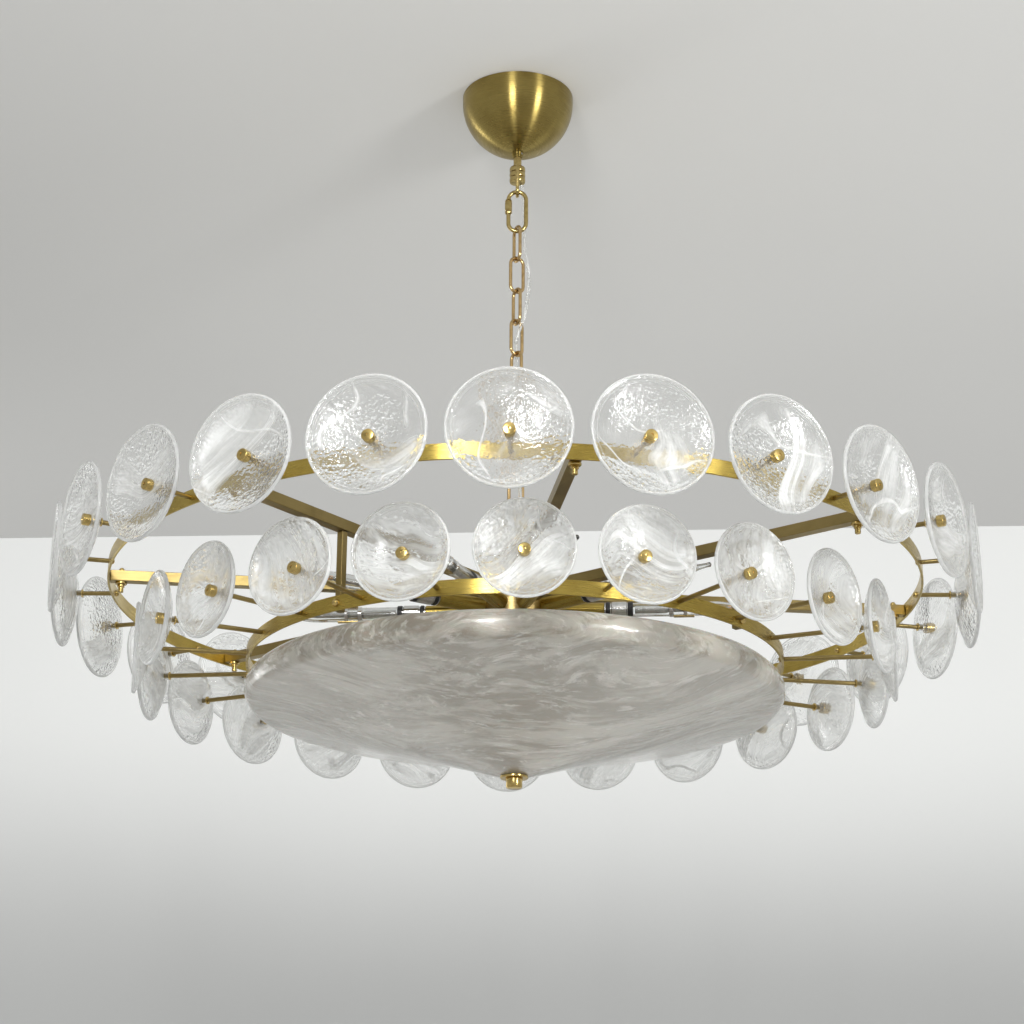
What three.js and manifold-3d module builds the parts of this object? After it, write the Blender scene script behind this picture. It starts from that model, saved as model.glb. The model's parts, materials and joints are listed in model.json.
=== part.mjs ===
// Glass disc chandelier: two tiers of dished glass discs on brass rings, a glass bowl below,
// eight spokes from a central hub, and a chain that hangs from a dome canopy.
// Millimetres, +Z up. The origin is the centre of the ceiling plate's top face.
import * as THREE from "three";
import { mergeVertices } from "three/addons/utils/BufferGeometryUtils.js";
import Module from "manifold-3d";

const wasm = await Module();
wasm.setup();

// Clearance between two pieces that seat on each other, overlap of what is joined, overrun of a cut
const clearance = 0.3;
const jointOverlap = 0.4;
const cutOverrun = 1;

// Ceiling plate
const plateLength = 104;
const plateWidth = 22;
const plateThickness = 3;
const plateBossRadius = 8.5;
const plateBossHeight = 7;
const slotLength = 14;
const slotWidth = 5;
const slotEndMargin = 8;
const slotSpacing = plateLength - slotLength - 2 * slotEndMargin;

// Canopy: a dome with a short straight rim and a collar that grips the stem
const canopyRadius = 66.6;
const canopyRimHeight = 7.5;
const canopyWall = 1.2;
const collarRadius = 6.8;
const collarLength = 6;

// Stem and the couplings with a wire loop, one at each end of the chain
const stemRadius = 4.8;
const stemBelowCanopy = 19.5;
const couplingRadius = 9.5;
const couplingLength = 20;
const couplingChamfer = 2;
const grooveDepth = 0.9;
const loopWire = 4.2;
const loopInnerWidth = 9;
const loopDrop = 17;

// Quick link with a screwed sleeve over its gate
const quickLinkWidth = 26;
const quickLinkHeight = 57;
const quickLinkWire = 5;
const gateGap = 9;
const gateDrop = 22.5;
const sleeveLength = 18;
const sleeveRadius = 4.4;

// Chain: nine links, each turned a quarter and a little twist from the one above
const linkCount = 9;
const linksPerNode = 3;
const linkLength = 48.3;
const linkWidth = 20;
const linkWire = 4;
const firstLinkYaw = THREE.MathUtils.degToRad(-64);
const firstLinkClearance = 0.9;
const secondLinkYaw = THREE.MathUtils.degToRad(22);
const twistPerLink = THREE.MathUtils.degToRad(7.75);

// Hub, centre rod and spokes
const hubStemLength = 42;
const hubRadius = 44;
const hubHeight = 23;
const hubRise = 14;
const hubChamfer = 3;
const centreRodRadius = 4;
const spokeCount = 8;
const spokeSize = 12;
const firstSpokeAngle = THREE.MathUtils.degToRad(7.2);
const endBoltInset = 12;
const endBoltFlangeRadius = 6.5;
const endBoltFlange = 3;
const endBoltPinRadius = 3;
const endBoltPin = 9;

// Lamps: long lying tubes round a carrier drum on the centre rod, just below the spokes
const lampCount = 10;
const firstLampAngle = THREE.MathUtils.degToRad(13.3);
const lampDrop = 21;
const carrierRadius = 44;
const carrierHeight = 24;
const socketRadius = 9.5;
const socketEnd = 132;
const lampTubeRadius = 8;
const clipStart = 175;
const clipEnd = 200;
const funnelStart = 225;
const funnelEnd = 268;
const lampTipRadius = 2.6;
const lampTipEnd = 282;

// Rings
const outerRingRadius = 450;
const innerRingRadius = 295.3;
const tierSpacing = 84;
const bandHeight = 16;
const bandThickness = 2.5;
const postSize = 9;
const postNutRadius = 4;
const postNutLength = 4;

// Rods, washers and cap nuts that carry the discs
const rodRadius = 2.5;
const outerRodReach = 42.6;
const innerRodReach = 103.3;
const washerRadius = 5.3;
const washerThickness = 2.5;
const capRadius = 6.2;
const capLength = 8.2;
const capTipShare = 0.84;

// Glass discs
const outerDiscCount = 24;
const innerDiscCount = 22;
const outerDiscRadius = 60;
const innerDiscRadius = 50;
const outerDishDepth = 17.3;
const innerDishDepth = 18.3;
const glassThickness = 5.5;
const rimThicknessShare = 0.7;
const outerDiscPhase = THREE.MathUtils.degToRad(-0.8);
const innerDiscPhase = THREE.MathUtils.degToRad(1.1);

// Bowl and finial
const bowlRadius = 299;
const bowlDepth = 102;
const bowlWall = 6;
const bowlGap = 14;
const shoulderRadius = 22;
const shoulderTopAngle = THREE.MathUtils.degToRad(60);
const bowlFootRadius = 16;
const finialWasherRadius = 15.5;
const finialWasherThickness = 2.6;
const knobRadius = 9.5;
const knobLength = 11;
const knobChamfer = 1.6;
const finialThread = 8;

// Power cord, clear, from the upper coupling through the chain to the hub's coupling
const cordRadius = 2;

// How finely round shapes are divided
const discSides = 12;
const smallDiscSides = 10;
const rodSides = 5;
const wireSides = 6;
const linkSteps = 6;
const loopSteps = 6;
const couplingSides = 12;
const canopySides = 18;
const canopySteps = 4;
const bowlSides = 32;
const shoulderSteps = 3;
const outerBandSides = 48;
const innerBandSides = 44;
const hubSides = 12;
const lampSides = 6;
const finialSides = 12;
const cordSides = 6;
const cordSteps = 34;

const brass = new THREE.MeshStandardMaterial({ color: 0xb3923f, metalness: 1, roughness: 0.34 });
const chainBrass = new THREE.MeshStandardMaterial({ color: 0xb0804c, metalness: 1, roughness: 0.35 });
const lampGlass = new THREE.MeshStandardMaterial({ color: 0xb9bcb6, metalness: 0, roughness: 0.15 });
const clearGlass = new THREE.MeshStandardMaterial({
  color: 0xe6ebea,
  metalness: 0,
  roughness: 0.06,
  transparent: true,
  opacity: 0.4,
});
const cloudyGlass = new THREE.MeshStandardMaterial({ color: 0xc6c0b8, metalness: 0, roughness: 0.2 });
const clearPlastic = new THREE.MeshStandardMaterial({
  color: 0xdfe3e0,
  metalness: 0,
  roughness: 0.25,
  transparent: true,
  opacity: 0.5,
});

// Turns a three.js geometry into a solid, and a solid back into a geometry.
function toSolid(geometry) {
  const bare = geometry.index ? geometry.toNonIndexed() : geometry.clone();
  bare.deleteAttribute("normal");
  bare.deleteAttribute("uv");
  const merged = mergeVertices(bare, clearance / 100);
  return new wasm.Manifold(
    new wasm.Mesh({
      numProp: 3,
      vertProperties: merged.attributes.position.array,
      triVerts: new Uint32Array(merged.index.array),
    }),
  );
}

function toGeometry(solid) {
  const mesh = solid.getMesh();
  const geometry = new THREE.BufferGeometry();
  geometry.setAttribute("position", new THREE.BufferAttribute(mesh.vertProperties, 3));
  geometry.setIndex(new THREE.BufferAttribute(mesh.triVerts, 1));
  geometry.computeVertexNormals();
  return geometry;
}

function join(geometries) {
  return geometries.map(toSolid).reduce((whole, piece) => whole.add(piece));
}

// Revolves [radius, height] points about Z. A profile that doesn't reach the axis closes on itself.
function revolve(profile, sides) {
  const points = profile.map(([radius, height]) => new THREE.Vector2(radius, height));
  const open = profile.some(([radius]) => radius === 0);
  if (!open) points.push(points[0].clone());
  return new THREE.LatheGeometry(points, sides).rotateX(Math.PI / 2);
}

// Points of an arc in the profile plane, from one angle to another.
function arcPoints(centreRadius, centreHeight, radius, from, to, steps) {
  return Array.from({ length: steps + 1 }, (_, step) => {
    const angle = from + ((to - from) * step) / steps;
    return [centreRadius + radius * Math.cos(angle), centreHeight + radius * Math.sin(angle)];
  });
}

function box(width, depth, height, x, y, z) {
  return new THREE.BoxGeometry(width, depth, height).translate(x, y, z);
}

// Stations round an oblong in the XZ plane, anticlockwise from its right side, steps to each bend.
function oblongStations(width, height, steps) {
  const bend = width / 2;
  const rise = (height - width) / 2;
  return [1, -1].flatMap((side) =>
    Array.from({ length: steps + 1 }, (_, step) => {
      const angle = (side > 0 ? 0 : Math.PI) + (Math.PI * step) / steps;
      return { x: bend * Math.cos(angle), z: side * rise + bend * Math.sin(angle), angle };
    }),
  );
}

// A wire through stations in the XZ plane. Each ring has a corner at its inner and outer side.
function wireThrough(stations, radius, closed) {
  const corners = stations.flatMap(({ x, z, angle }) =>
    Array.from({ length: wireSides }, (_, side) => {
      const turn = (2 * Math.PI * side) / wireSides;
      const outward = radius * Math.cos(turn);
      return [x + outward * Math.cos(angle), radius * Math.sin(turn), z + outward * Math.sin(angle)];
    }),
  );
  const corner = (station, side) =>
    (station % stations.length) * wireSides + (side % wireSides);
  const faces = [];
  const spans = closed ? stations.length : stations.length - 1;
  for (let station = 0; station < spans; station += 1) {
    for (let side = 0; side < wireSides; side += 1) {
      const near = corner(station, side);
      const nearNext = corner(station, side + 1);
      const farNext = corner(station + 1, side + 1);
      const far = corner(station + 1, side);
      faces.push(near, nearNext, farNext, near, farNext, far);
    }
  }
  for (let side = 1; side < wireSides - 1 && !closed; side += 1) {
    faces.push(corner(0, 0), corner(0, side + 1), corner(0, side));
    faces.push(corner(spans, 0), corner(spans, side), corner(spans, side + 1));
  }
  const geometry = new THREE.BufferGeometry();
  geometry.setAttribute("position", new THREE.BufferAttribute(new Float32Array(corners.flat()), 3));
  geometry.setIndex(faces);
  return geometry;
}

// A closed wire link with its top at the given height, turned by yaw about Z.
function wireLink(width, length, wire, top, yaw, steps) {
  const stations = oblongStations(width - wire, length - wire, steps);
  return wireThrough(stations, wire / 2, true)
    .translate(0, 0, top - length / 2)
    .rotateZ(yaw);
}

// Heights down the hanging line
const canopyTop = -clearance;
const canopyCentre = canopyTop - canopyRimHeight;
const canopyBottom = canopyCentre - canopyRadius;
const collarBottom = canopyBottom - collarLength;
const upperCouplingTop = canopyBottom - stemBelowCanopy;
const upperCouplingBottom = upperCouplingTop - couplingLength;
const upperLoopCentre = upperCouplingBottom - loopDrop;
const quickLinkTop = upperLoopCentre + loopWire / 2 + clearance + quickLinkWire;
const quickLinkBottom = quickLinkTop - quickLinkHeight;
const firstLinkTop = quickLinkBottom + quickLinkWire + firstLinkClearance + linkWire;
const joinedPitch = linkLength - 2 * linkWire + jointOverlap;
const loosePitch = linkLength - 2 * linkWire - clearance;

// Links lie joined within a node and loose between two nodes.
const linkTops = [firstLinkTop];
for (let link = 1; link < linkCount; link += 1) {
  const pitch = link % linksPerNode === 0 ? loosePitch : joinedPitch;
  linkTops.push(linkTops[link - 1] - pitch);
}
const linkYaws = linkTops.map((_, link) =>
  link === 0 ? firstLinkYaw : secondLinkYaw + (link - 1) * (twistPerLink + Math.PI / 2),
);
const chainBottom = linkTops[linkCount - 1] - linkLength;
const lowerLoopCentre = chainBottom + linkWire + clearance + loopWire / 2;
const lowerCouplingTop = lowerLoopCentre - loopDrop;
const lowerCouplingBottom = lowerCouplingTop - couplingLength;
const hubTop = lowerCouplingBottom - hubStemLength;
const outerPlane = hubTop - hubRise;
const innerPlane = outerPlane - tierSpacing;
const hubBottom = hubTop - hubHeight;
const lampPlane = outerPlane - lampDrop;
const bowlTop = innerPlane - bandHeight / 2 - bowlGap;
const bowlBottom = bowlTop - bowlDepth;
const finialTop = bowlBottom - clearance;
const lowerLoopYaw = linkYaws[linkCount - 1] + Math.PI / 2;

function canopy() {
  const innerRadius = canopyRadius - canopyWall;
  const collarAngle = Math.asin(collarRadius / canopyRadius);
  const holeRadius = stemRadius + clearance;
  const holeAngle = Math.asin(holeRadius / innerRadius);
  const outside = arcPoints(0, canopyCentre, canopyRadius, collarAngle - Math.PI / 2, 0, canopySteps);
  const inside = arcPoints(0, canopyCentre, innerRadius, 0, holeAngle - Math.PI / 2, canopySteps);
  const profile = [
    [holeRadius, collarBottom],
    [collarRadius, collarBottom],
    ...outside,
    [canopyRadius, canopyTop],
    [innerRadius, canopyTop],
    ...inside,
  ];
  return toSolid(revolve(profile, canopySides));
}

// Half of the coupling's outline from its stem end: chamfer, body with two grooves, chamfer.
function couplingOutline(stemEnd, direction) {
  const at = (length) => stemEnd + direction * length;
  const third = couplingLength / 3;
  return [
    [stemRadius, at(0)],
    [couplingRadius - couplingChamfer, at(0)],
    [couplingRadius, at(couplingChamfer)],
    [couplingRadius, at(third)],
    [couplingRadius - grooveDepth, at(couplingLength / 2)],
    [couplingRadius, at(2 * third)],
    [couplingRadius, at(couplingLength - couplingChamfer)],
    [couplingRadius - couplingChamfer, at(couplingLength)],
  ];
}

// The wire loop on a coupling: an oblong whose far half lies inside the coupling.
function couplingLoop(loopCentre, faceHeight, yaw) {
  const sign = Math.sign(faceHeight - loopCentre);
  const width = loopInnerWidth + 2 * loopWire;
  const length = 2 * loopDrop;
  const top = sign > 0 ? loopCentre - loopWire / 2 + length : loopCentre + loopWire / 2;
  return wireLink(width, length, loopWire, top, yaw, loopSteps);
}

// The slotted crossbar, its boss, the stem, the coupling and the loop, in one piece.
function ceilingHanger() {
  const bar = box(plateLength, plateWidth, plateThickness, 0, 0, -plateThickness / 2);
  const bossBottom = -plateThickness - plateBossHeight;
  const profile = [
    [0, -plateThickness / 2],
    [plateBossRadius, -plateThickness / 2],
    [plateBossRadius, bossBottom],
    [stemRadius, bossBottom],
    ...couplingOutline(upperCouplingTop, -1),
    [0, upperCouplingBottom],
  ].reverse();
  const loop = couplingLoop(upperLoopCentre, upperCouplingBottom, Math.PI / 2);
  const slots = [-1, 1].map((side) =>
    box(
      slotLength,
      slotWidth,
      plateThickness + 2 * cutOverrun,
      (side * slotSpacing) / 2,
      0,
      -plateThickness / 2,
    ),
  );
  const solid = join([bar, revolve(profile, couplingSides), loop]);
  return slots.map(toSolid).reduce((whole, slot) => whole.subtract(slot), solid);
}

// An oblong wire that is open on its left side, where the sleeve covers the gap.
function quickLink() {
  const outline = oblongStations(quickLinkWidth - quickLinkWire, quickLinkHeight - quickLinkWire, loopSteps);
  const half = outline.length / 2;
  const x = -(quickLinkWidth - quickLinkWire) / 2;
  const gateCentre = quickLinkHeight / 2 - gateDrop;
  const stations = [
    { x, z: gateCentre - gateGap / 2, angle: Math.PI },
    ...outline.slice(half),
    ...outline.slice(0, half),
    { x, z: gateCentre + gateGap / 2, angle: Math.PI },
  ];
  const wire = wireThrough(stations, quickLinkWire / 2, false);
  return toSolid(wire.translate(0, 0, quickLinkTop - quickLinkHeight / 2));
}

function quickLinkSleeve() {
  const bore = quickLinkWire / 2 + clearance;
  const centre = quickLinkTop - gateDrop;
  const x = -(quickLinkWidth - quickLinkWire) / 2;
  const sleeve = revolve(
    [
      [bore, centre - sleeveLength / 2],
      [sleeveRadius, centre - sleeveLength / 2],
      [sleeveRadius, centre + sleeveLength / 2],
      [bore, centre + sleeveLength / 2],
    ],
    couplingSides,
  );
  return toSolid(sleeve.translate(x, 0, 0));
}

function chainLinks(first) {
  const links = linkTops
    .slice(first, first + linksPerNode)
    .map((top, offset) => wireLink(linkWidth, linkLength, linkWire, top, linkYaws[first + offset], linkSteps));
  return join(links);
}

// The cord's route from the upper coupling, behind the quick link, out to the right of the second
// link, through the fourth and sixth links and into the lower coupling. Each point has x and y as
// shares of a link's width, and how far down it is as a share of the drop between the couplings.
const cordShares = [
  [0.26, 0.25, 0.0016],
  [0.28, 0.33, 0.016],
  [0.37, 0.41, 0.039],
  [0.44, 0.43, 0.078],
  [0.45, 0.41, 0.128],
  [0.45, 0.33, 0.178],
  [0.56, 0.22, 0.225],
  [0.71, 0.09, 0.278],
  [0.66, -0.03, 0.337],
  [0.46, -0.12, 0.398],
  [0.23, -0.06, 0.43],
  [0, 0, 0.462],
  [-0.03, 0.22, 0.482],
  [0.01, 0.44, 0.51],
  [0.02, 0.48, 0.553],
  [-0.02, 0.45, 0.598],
  [-0.02, 0.23, 0.626],
  [0, 0, 0.646],
  [0.05, -0.23, 0.666],
  [0.1, -0.44, 0.694],
  [0.13, -0.48, 0.737],
  [0.15, -0.445, 0.785],
  [0.19, -0.46, 0.832],
  [0.22, -0.43, 0.878],
  [0.28, -0.41, 0.928],
  [0.31, -0.33, 0.967],
  [0.26, -0.25, 0.9985],
];

function powerCord() {
  const drop = upperCouplingBottom - lowerCouplingTop;
  const route = cordShares.map(
    ([x, y, down]) => new THREE.Vector3(x * linkWidth, y * linkWidth, upperCouplingBottom - down * drop),
  );
  const path = new THREE.CatmullRomCurve3(route, false, "centripetal");
  const circle = new THREE.EllipseCurve(0, 0, cordRadius, cordRadius);
  const section = new THREE.Shape(circle.getPoints(cordSides));
  const settings = { extrudePath: path, steps: cordSteps, bevelEnabled: false };
  return toSolid(new THREE.ExtrudeGeometry(section, settings));
}

// A revolved shape laid along +X, for what points out from the centre line.
function revolveOutward(profile, sides, angle, height) {
  return revolve(profile, sides)
    .rotateY(Math.PI / 2)
    .rotateZ(angle)
    .translate(0, 0, height);
}

// One lamp from inside the carrier outward: socket, tube, clip, funnel and tip.
function lamp(index) {
  const angle = firstLampAngle - Math.PI / 2 + (2 * Math.PI * index) / lampCount;
  return revolveOutward(
    [
      [0, carrierRadius - socketRadius],
      [socketRadius, carrierRadius - socketRadius],
      [socketRadius, socketEnd],
      [lampTubeRadius, socketEnd],
      [lampTubeRadius, clipStart],
      [socketRadius, (clipStart + clipEnd) / 2],
      [lampTubeRadius, clipEnd],
      [lampTubeRadius, funnelStart],
      [lampTipRadius, funnelEnd],
      [lampTipRadius, lampTipEnd],
      [0, lampTipEnd],
    ],
    lampSides,
    angle,
    lampPlane,
  );
}

function lampCluster() {
  const carrierTop = hubBottom - clearance;
  const carrierBore = centreRodRadius + clearance;
  const carrier = revolve(
    [
      [carrierBore, carrierTop - carrierHeight],
      [carrierRadius - hubChamfer, carrierTop - carrierHeight],
      [carrierRadius, carrierTop - carrierHeight + hubChamfer],
      [carrierRadius, carrierTop],
      [carrierBore, carrierTop],
    ],
    hubSides,
  );
  return join([carrier, ...Array.from({ length: lampCount }, (_, index) => lamp(index))]);
}

function spoke(index) {
  const angle = spokeAngle(index);
  const start = hubRadius / 2;
  const flatRadius = (outerRingRadius - bandThickness / 2) * Math.cos(Math.PI / outerBandSides);
  const end = flatRadius - clearance;
  const bar = box(end - start, spokeSize, spokeSize, (start + end) / 2, 0, outerPlane).rotateZ(angle);
  const boltTop = outerPlane - spokeSize / 2 + jointOverlap;
  const flangeBottom = boltTop - jointOverlap - endBoltFlange;
  const bolt = revolve(
    [
      [0, flangeBottom - endBoltPin],
      [endBoltPinRadius, flangeBottom - endBoltPin],
      [endBoltPinRadius, flangeBottom],
      [endBoltFlangeRadius, flangeBottom],
      [endBoltFlangeRadius, boltTop],
      [0, boltTop],
    ],
    rodSides,
  )
    .translate(end - endBoltInset, 0, 0)
    .rotateZ(angle);
  return [bar, bolt];
}

function spokeAngle(index) {
  return firstSpokeAngle - Math.PI / 2 + (2 * Math.PI * index) / spokeCount;
}

function hubFrame() {
  const rodBottom = finialTop - finialWasherThickness - finialThread;
  const profile = [
    [0, rodBottom],
    [centreRodRadius, rodBottom],
    [centreRodRadius, hubBottom],
    [hubRadius - hubChamfer, hubBottom],
    [hubRadius, hubBottom + hubChamfer],
    [hubRadius, hubTop - hubChamfer],
    [hubRadius - hubChamfer, hubTop],
    [stemRadius, hubTop],
    ...couplingOutline(lowerCouplingBottom, 1),
    [0, lowerCouplingTop],
  ];
  const body = revolve(profile, hubSides);
  const loop = couplingLoop(lowerLoopCentre, lowerCouplingTop, lowerLoopYaw);
  const spokes = Array.from({ length: spokeCount }, (_, index) => spoke(index)).flat();
  return join([body, loop, ...spokes]);
}

// The two tiers of discs, each with its ring, rods and glass.
const outerTier = {
  ringRadius: outerRingRadius,
  reach: outerRodReach,
  discRadius: outerDiscRadius,
  dishDepth: outerDishDepth,
  count: outerDiscCount,
  phase: outerDiscPhase,
  plane: outerPlane,
  sides: discSides,
};
const innerTier = {
  ringRadius: innerRingRadius,
  reach: innerRodReach,
  discRadius: innerDiscRadius,
  dishDepth: innerDishDepth,
  count: innerDiscCount,
  phase: innerDiscPhase,
  plane: innerPlane,
  sides: smallDiscSides,
};

function discAngle(tier, index) {
  return tier.phase - Math.PI / 2 + (2 * Math.PI * index) / tier.count;
}

// The dish rises straight from its hole to its middle radius, and straight from there to its rim.
function dishMiddle(tier) {
  const hole = rodRadius + clearance;
  const radius = (hole + tier.discRadius) / 2;
  return { hole, radius, rise: tier.dishDepth * (radius / tier.discRadius) ** 2 };
}

// A rod through the band with its washer behind the glass and its cap nut in front.
function discRod(tier, index) {
  const start = tier.ringRadius - bandThickness / 2 + jointOverlap;
  const washerFront = tier.ringRadius + tier.reach;
  const { hole, radius, rise } = dishMiddle(tier);
  const riseUnderCap = (rise * (capRadius - hole)) / (radius - hole);
  const capBack = washerFront + glassThickness + 2 * clearance + riseUnderCap;
  return revolveOutward(
    [
      [0, start],
      [rodRadius, start],
      [rodRadius, washerFront - washerThickness],
      [washerRadius, washerFront],
      [rodRadius, washerFront],
      [rodRadius, capBack],
      [capRadius, capBack],
      [capRadius * capTipShare, capBack + capLength],
      [0, capBack + capLength],
    ],
    rodSides,
    discAngle(tier, index),
    tier.plane,
  );
}

function band(radius, height, sides) {
  const inside = radius - bandThickness / 2;
  const outside = radius + bandThickness / 2;
  return revolve(
    [
      [inside, height - bandHeight / 2],
      [outside, height - bandHeight / 2],
      [outside, height + bandHeight / 2],
      [inside, height + bandHeight / 2],
    ],
    sides,
  );
}

function discRods(tier) {
  return Array.from({ length: tier.count }, (_, index) => discRod(tier, index));
}

function outerRing() {
  return join([band(outerRingRadius, outerPlane, outerBandSides), ...discRods(outerTier)]);
}

// Four posts hang the inner ring from every second spoke.
function post(index) {
  const angle = spokeAngle(2 * index + 1);
  const top = outerPlane - spokeSize / 2 - clearance;
  const bottom = innerPlane - bandHeight / 2;
  const outerFace = innerRingRadius - bandThickness / 2 + jointOverlap;
  const bar = box(
    postSize,
    postSize,
    top - bottom,
    outerFace - postSize / 2,
    0,
    (top + bottom) / 2,
  ).rotateZ(angle);
  const nutEnd = innerRingRadius + bandThickness / 2 + postNutLength;
  const nut = revolveOutward(
    [
      [0, innerRingRadius],
      [postNutRadius, innerRingRadius],
      [postNutRadius * capTipShare, nutEnd],
      [0, nutEnd],
    ],
    rodSides,
    angle,
    innerPlane,
  );
  return [bar, nut];
}

function innerRing() {
  const posts = Array.from({ length: spokeCount / 2 }, (_, index) => post(index)).flat();
  return join([band(innerRingRadius, innerPlane, innerBandSides), ...discRods(innerTier), ...posts]);
}

// A dished disc with its hollow side up and its back at zero, from its hole's back to its front.
function glassDisc(tier) {
  const { hole, radius, rise } = dishMiddle(tier);
  const profile = [
    [hole, 0],
    [radius, rise],
    [tier.discRadius, tier.dishDepth + (glassThickness * rimThicknessShare) / 2],
    [radius, rise + glassThickness],
    [hole, glassThickness],
  ];
  return toGeometry(toSolid(revolve(profile, tier.sides)));
}

// The bowl's outside in profile: foot, cone up to the shoulder, and the shoulder's arc to the rim.
function bowlOutside(inset) {
  const centreRadius = bowlRadius - shoulderRadius;
  const centreHeight = bowlTop - shoulderRadius * Math.sin(shoulderTopAngle);
  const arcRadius = shoulderRadius - inset;
  const footHeight = bowlBottom + inset;
  const away = Math.hypot(centreRadius - bowlFootRadius, centreHeight - footHeight);
  const towards = Math.atan2(centreHeight - footHeight, centreRadius - bowlFootRadius);
  const slope = towards - Math.asin(arcRadius / away);
  const lowAngle = slope - Math.PI / 2;
  const shoulder = arcPoints(
    centreRadius,
    centreHeight,
    arcRadius,
    lowAngle,
    shoulderTopAngle,
    shoulderSteps,
  );
  return [[centreRodRadius + clearance, footHeight], [bowlFootRadius, footHeight], ...shoulder];
}

function bowl() {
  const outside = bowlOutside(0);
  const inside = bowlOutside(bowlWall).reverse();
  return toSolid(revolve([...outside, ...inside], bowlSides));
}

function finial() {
  const washerBottom = finialTop - finialWasherThickness;
  const knobBottom = washerBottom - knobLength;
  const bore = centreRodRadius + clearance;
  const boreEnd = washerBottom - finialThread - clearance;
  const profile = [
    [0, knobBottom],
    [knobRadius - knobChamfer, knobBottom],
    [knobRadius, knobBottom + knobChamfer],
    [knobRadius, washerBottom - knobChamfer],
    [knobRadius - knobChamfer, washerBottom],
    [finialWasherRadius, washerBottom],
    [finialWasherRadius, finialTop],
    [bore, finialTop],
    [bore, boreEnd],
    [0, boreEnd],
  ];
  return toSolid(revolve(profile, finialSides));
}

const chandelier = new THREE.Group();

function addPiece(name, solid, material) {
  const mesh = new THREE.Mesh(toGeometry(solid), material);
  mesh.name = name;
  chandelier.add(mesh);
}

function twoDigits(number) {
  return String(number).padStart(2, "0");
}

addPiece("ceiling_hanger", ceilingHanger(), brass);
addPiece("canopy", canopy(), brass);
addPiece("quick_link", quickLink(), brass);
addPiece("quick_link_sleeve", quickLinkSleeve(), brass);
["chain_upper", "chain_middle", "chain_lower"].forEach((name, group) => {
  addPiece(name, chainLinks(group * linksPerNode), chainBrass);
});
addPiece("power_cord", powerCord(), clearPlastic);
addPiece("hub_frame", hubFrame(), brass);
addPiece("lamp_cluster", lampCluster(), lampGlass);
addPiece("outer_ring", outerRing(), brass);
addPiece("inner_ring", innerRing(), brass);
addPiece("bowl", bowl(), cloudyGlass);
addPiece("finial", finial(), brass);
// The discs of a tier share one form, and each stands on its own rod, its back to the hub.
function addDiscs(name, tier) {
  const form = glassDisc(tier);
  const discs = new THREE.Group();
  discs.position.z = tier.plane;
  for (let index = 0; index < tier.count; index += 1) {
    const arm = new THREE.Group();
    arm.rotation.z = discAngle(tier, index);
    const disc = new THREE.Mesh(form, clearGlass);
    disc.name = `${name}_${twoDigits(index + 1)}`;
    disc.position.x = tier.ringRadius + tier.reach + clearance;
    disc.rotation.y = Math.PI / 2;
    arm.add(disc);
    discs.add(arm);
  }
  chandelier.add(discs);
}

addDiscs("outer_disc", outerTier);
addDiscs("inner_disc", innerTier);

export default chandelier;
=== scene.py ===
import json
import math
import random

import bmesh
import bpy
from mathutils import Matrix, Vector, noise


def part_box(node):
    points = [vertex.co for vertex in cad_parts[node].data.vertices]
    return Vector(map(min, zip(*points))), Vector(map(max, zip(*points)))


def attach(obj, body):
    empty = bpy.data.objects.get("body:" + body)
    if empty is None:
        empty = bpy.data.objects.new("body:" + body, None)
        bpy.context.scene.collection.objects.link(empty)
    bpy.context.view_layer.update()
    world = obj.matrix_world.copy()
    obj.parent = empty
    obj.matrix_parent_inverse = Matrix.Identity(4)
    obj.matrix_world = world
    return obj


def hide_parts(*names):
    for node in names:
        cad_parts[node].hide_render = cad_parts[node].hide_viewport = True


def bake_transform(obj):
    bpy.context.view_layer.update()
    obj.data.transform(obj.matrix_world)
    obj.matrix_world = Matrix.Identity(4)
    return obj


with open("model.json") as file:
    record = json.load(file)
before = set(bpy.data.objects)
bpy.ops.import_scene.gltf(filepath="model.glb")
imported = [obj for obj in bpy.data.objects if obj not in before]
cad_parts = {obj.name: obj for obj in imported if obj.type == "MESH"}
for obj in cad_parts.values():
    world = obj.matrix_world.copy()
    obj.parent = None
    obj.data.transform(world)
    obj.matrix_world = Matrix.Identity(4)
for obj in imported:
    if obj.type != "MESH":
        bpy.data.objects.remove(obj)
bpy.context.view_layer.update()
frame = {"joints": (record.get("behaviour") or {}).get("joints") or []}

# Lengths are in millimetres, times MM, as in the CAD model.
MM = 0.001
TAU = 2 * math.pi
QUARTER = math.pi / 2


# Camera and room

# The camera as fitted to the photograph: focal length in pixels of a frame 1024 wide.
FRAME_PIXELS = 1024
FOCAL_PIXELS = 2270.5
SENSOR_WIDTH = 36
CAMERA_PLACE = (-4.1, -2432.6, -1393)
CAMERA_PITCH = 0.3402
CAMERA_ROLL = 0.006

ROOM_WIDTH = 9000
ROOM_BACK = 1615
ROOM_TURN = math.radians(-3.2)
ROOM_FRONT = -6000
FLOOR_HEIGHT = -2620
CEILING_COLOUR = (0.93, 0.93, 0.90)
WALL_COLOUR = (0.93, 0.94, 0.92)
FLOOR_COLOUR = (0.75, 0.73, 0.69)
WALL_GLOW = 0.11
CEILING_GLOW = 0.03
CEILING_GAP = 0.5
# Painted shade: where the paint is darkened to stand for light falling off: axis, start, end and share.
# Past the end it starts to return after one return length, given below, and has returned after two, in
# metres.
WALL_PAINTED_SHADE = (2, -0.3, -0.95, 0.44)
CEILING_PAINTED_SHADE = (0, 0.3, -1.2, 0.24)
PAINTED_SHADE_RETURN = 0.25

# Each lamp: azimuth in degrees from the camera's side towards +X, height, distance, width, height
# of its face, and power in watts.
LAMPS = {
    "left_window": (-11, -360, 1700, 300, 520, 13),
    "right_window": (43, -640, 2600, 440, 720, 27),
    "far_window": (-130, -900, 2600, 600, 1100, 8),
}
# The soft light from all round, below and above.
WORLD_LOW = 0.42
WORLD_HIGH = 0.62


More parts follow.
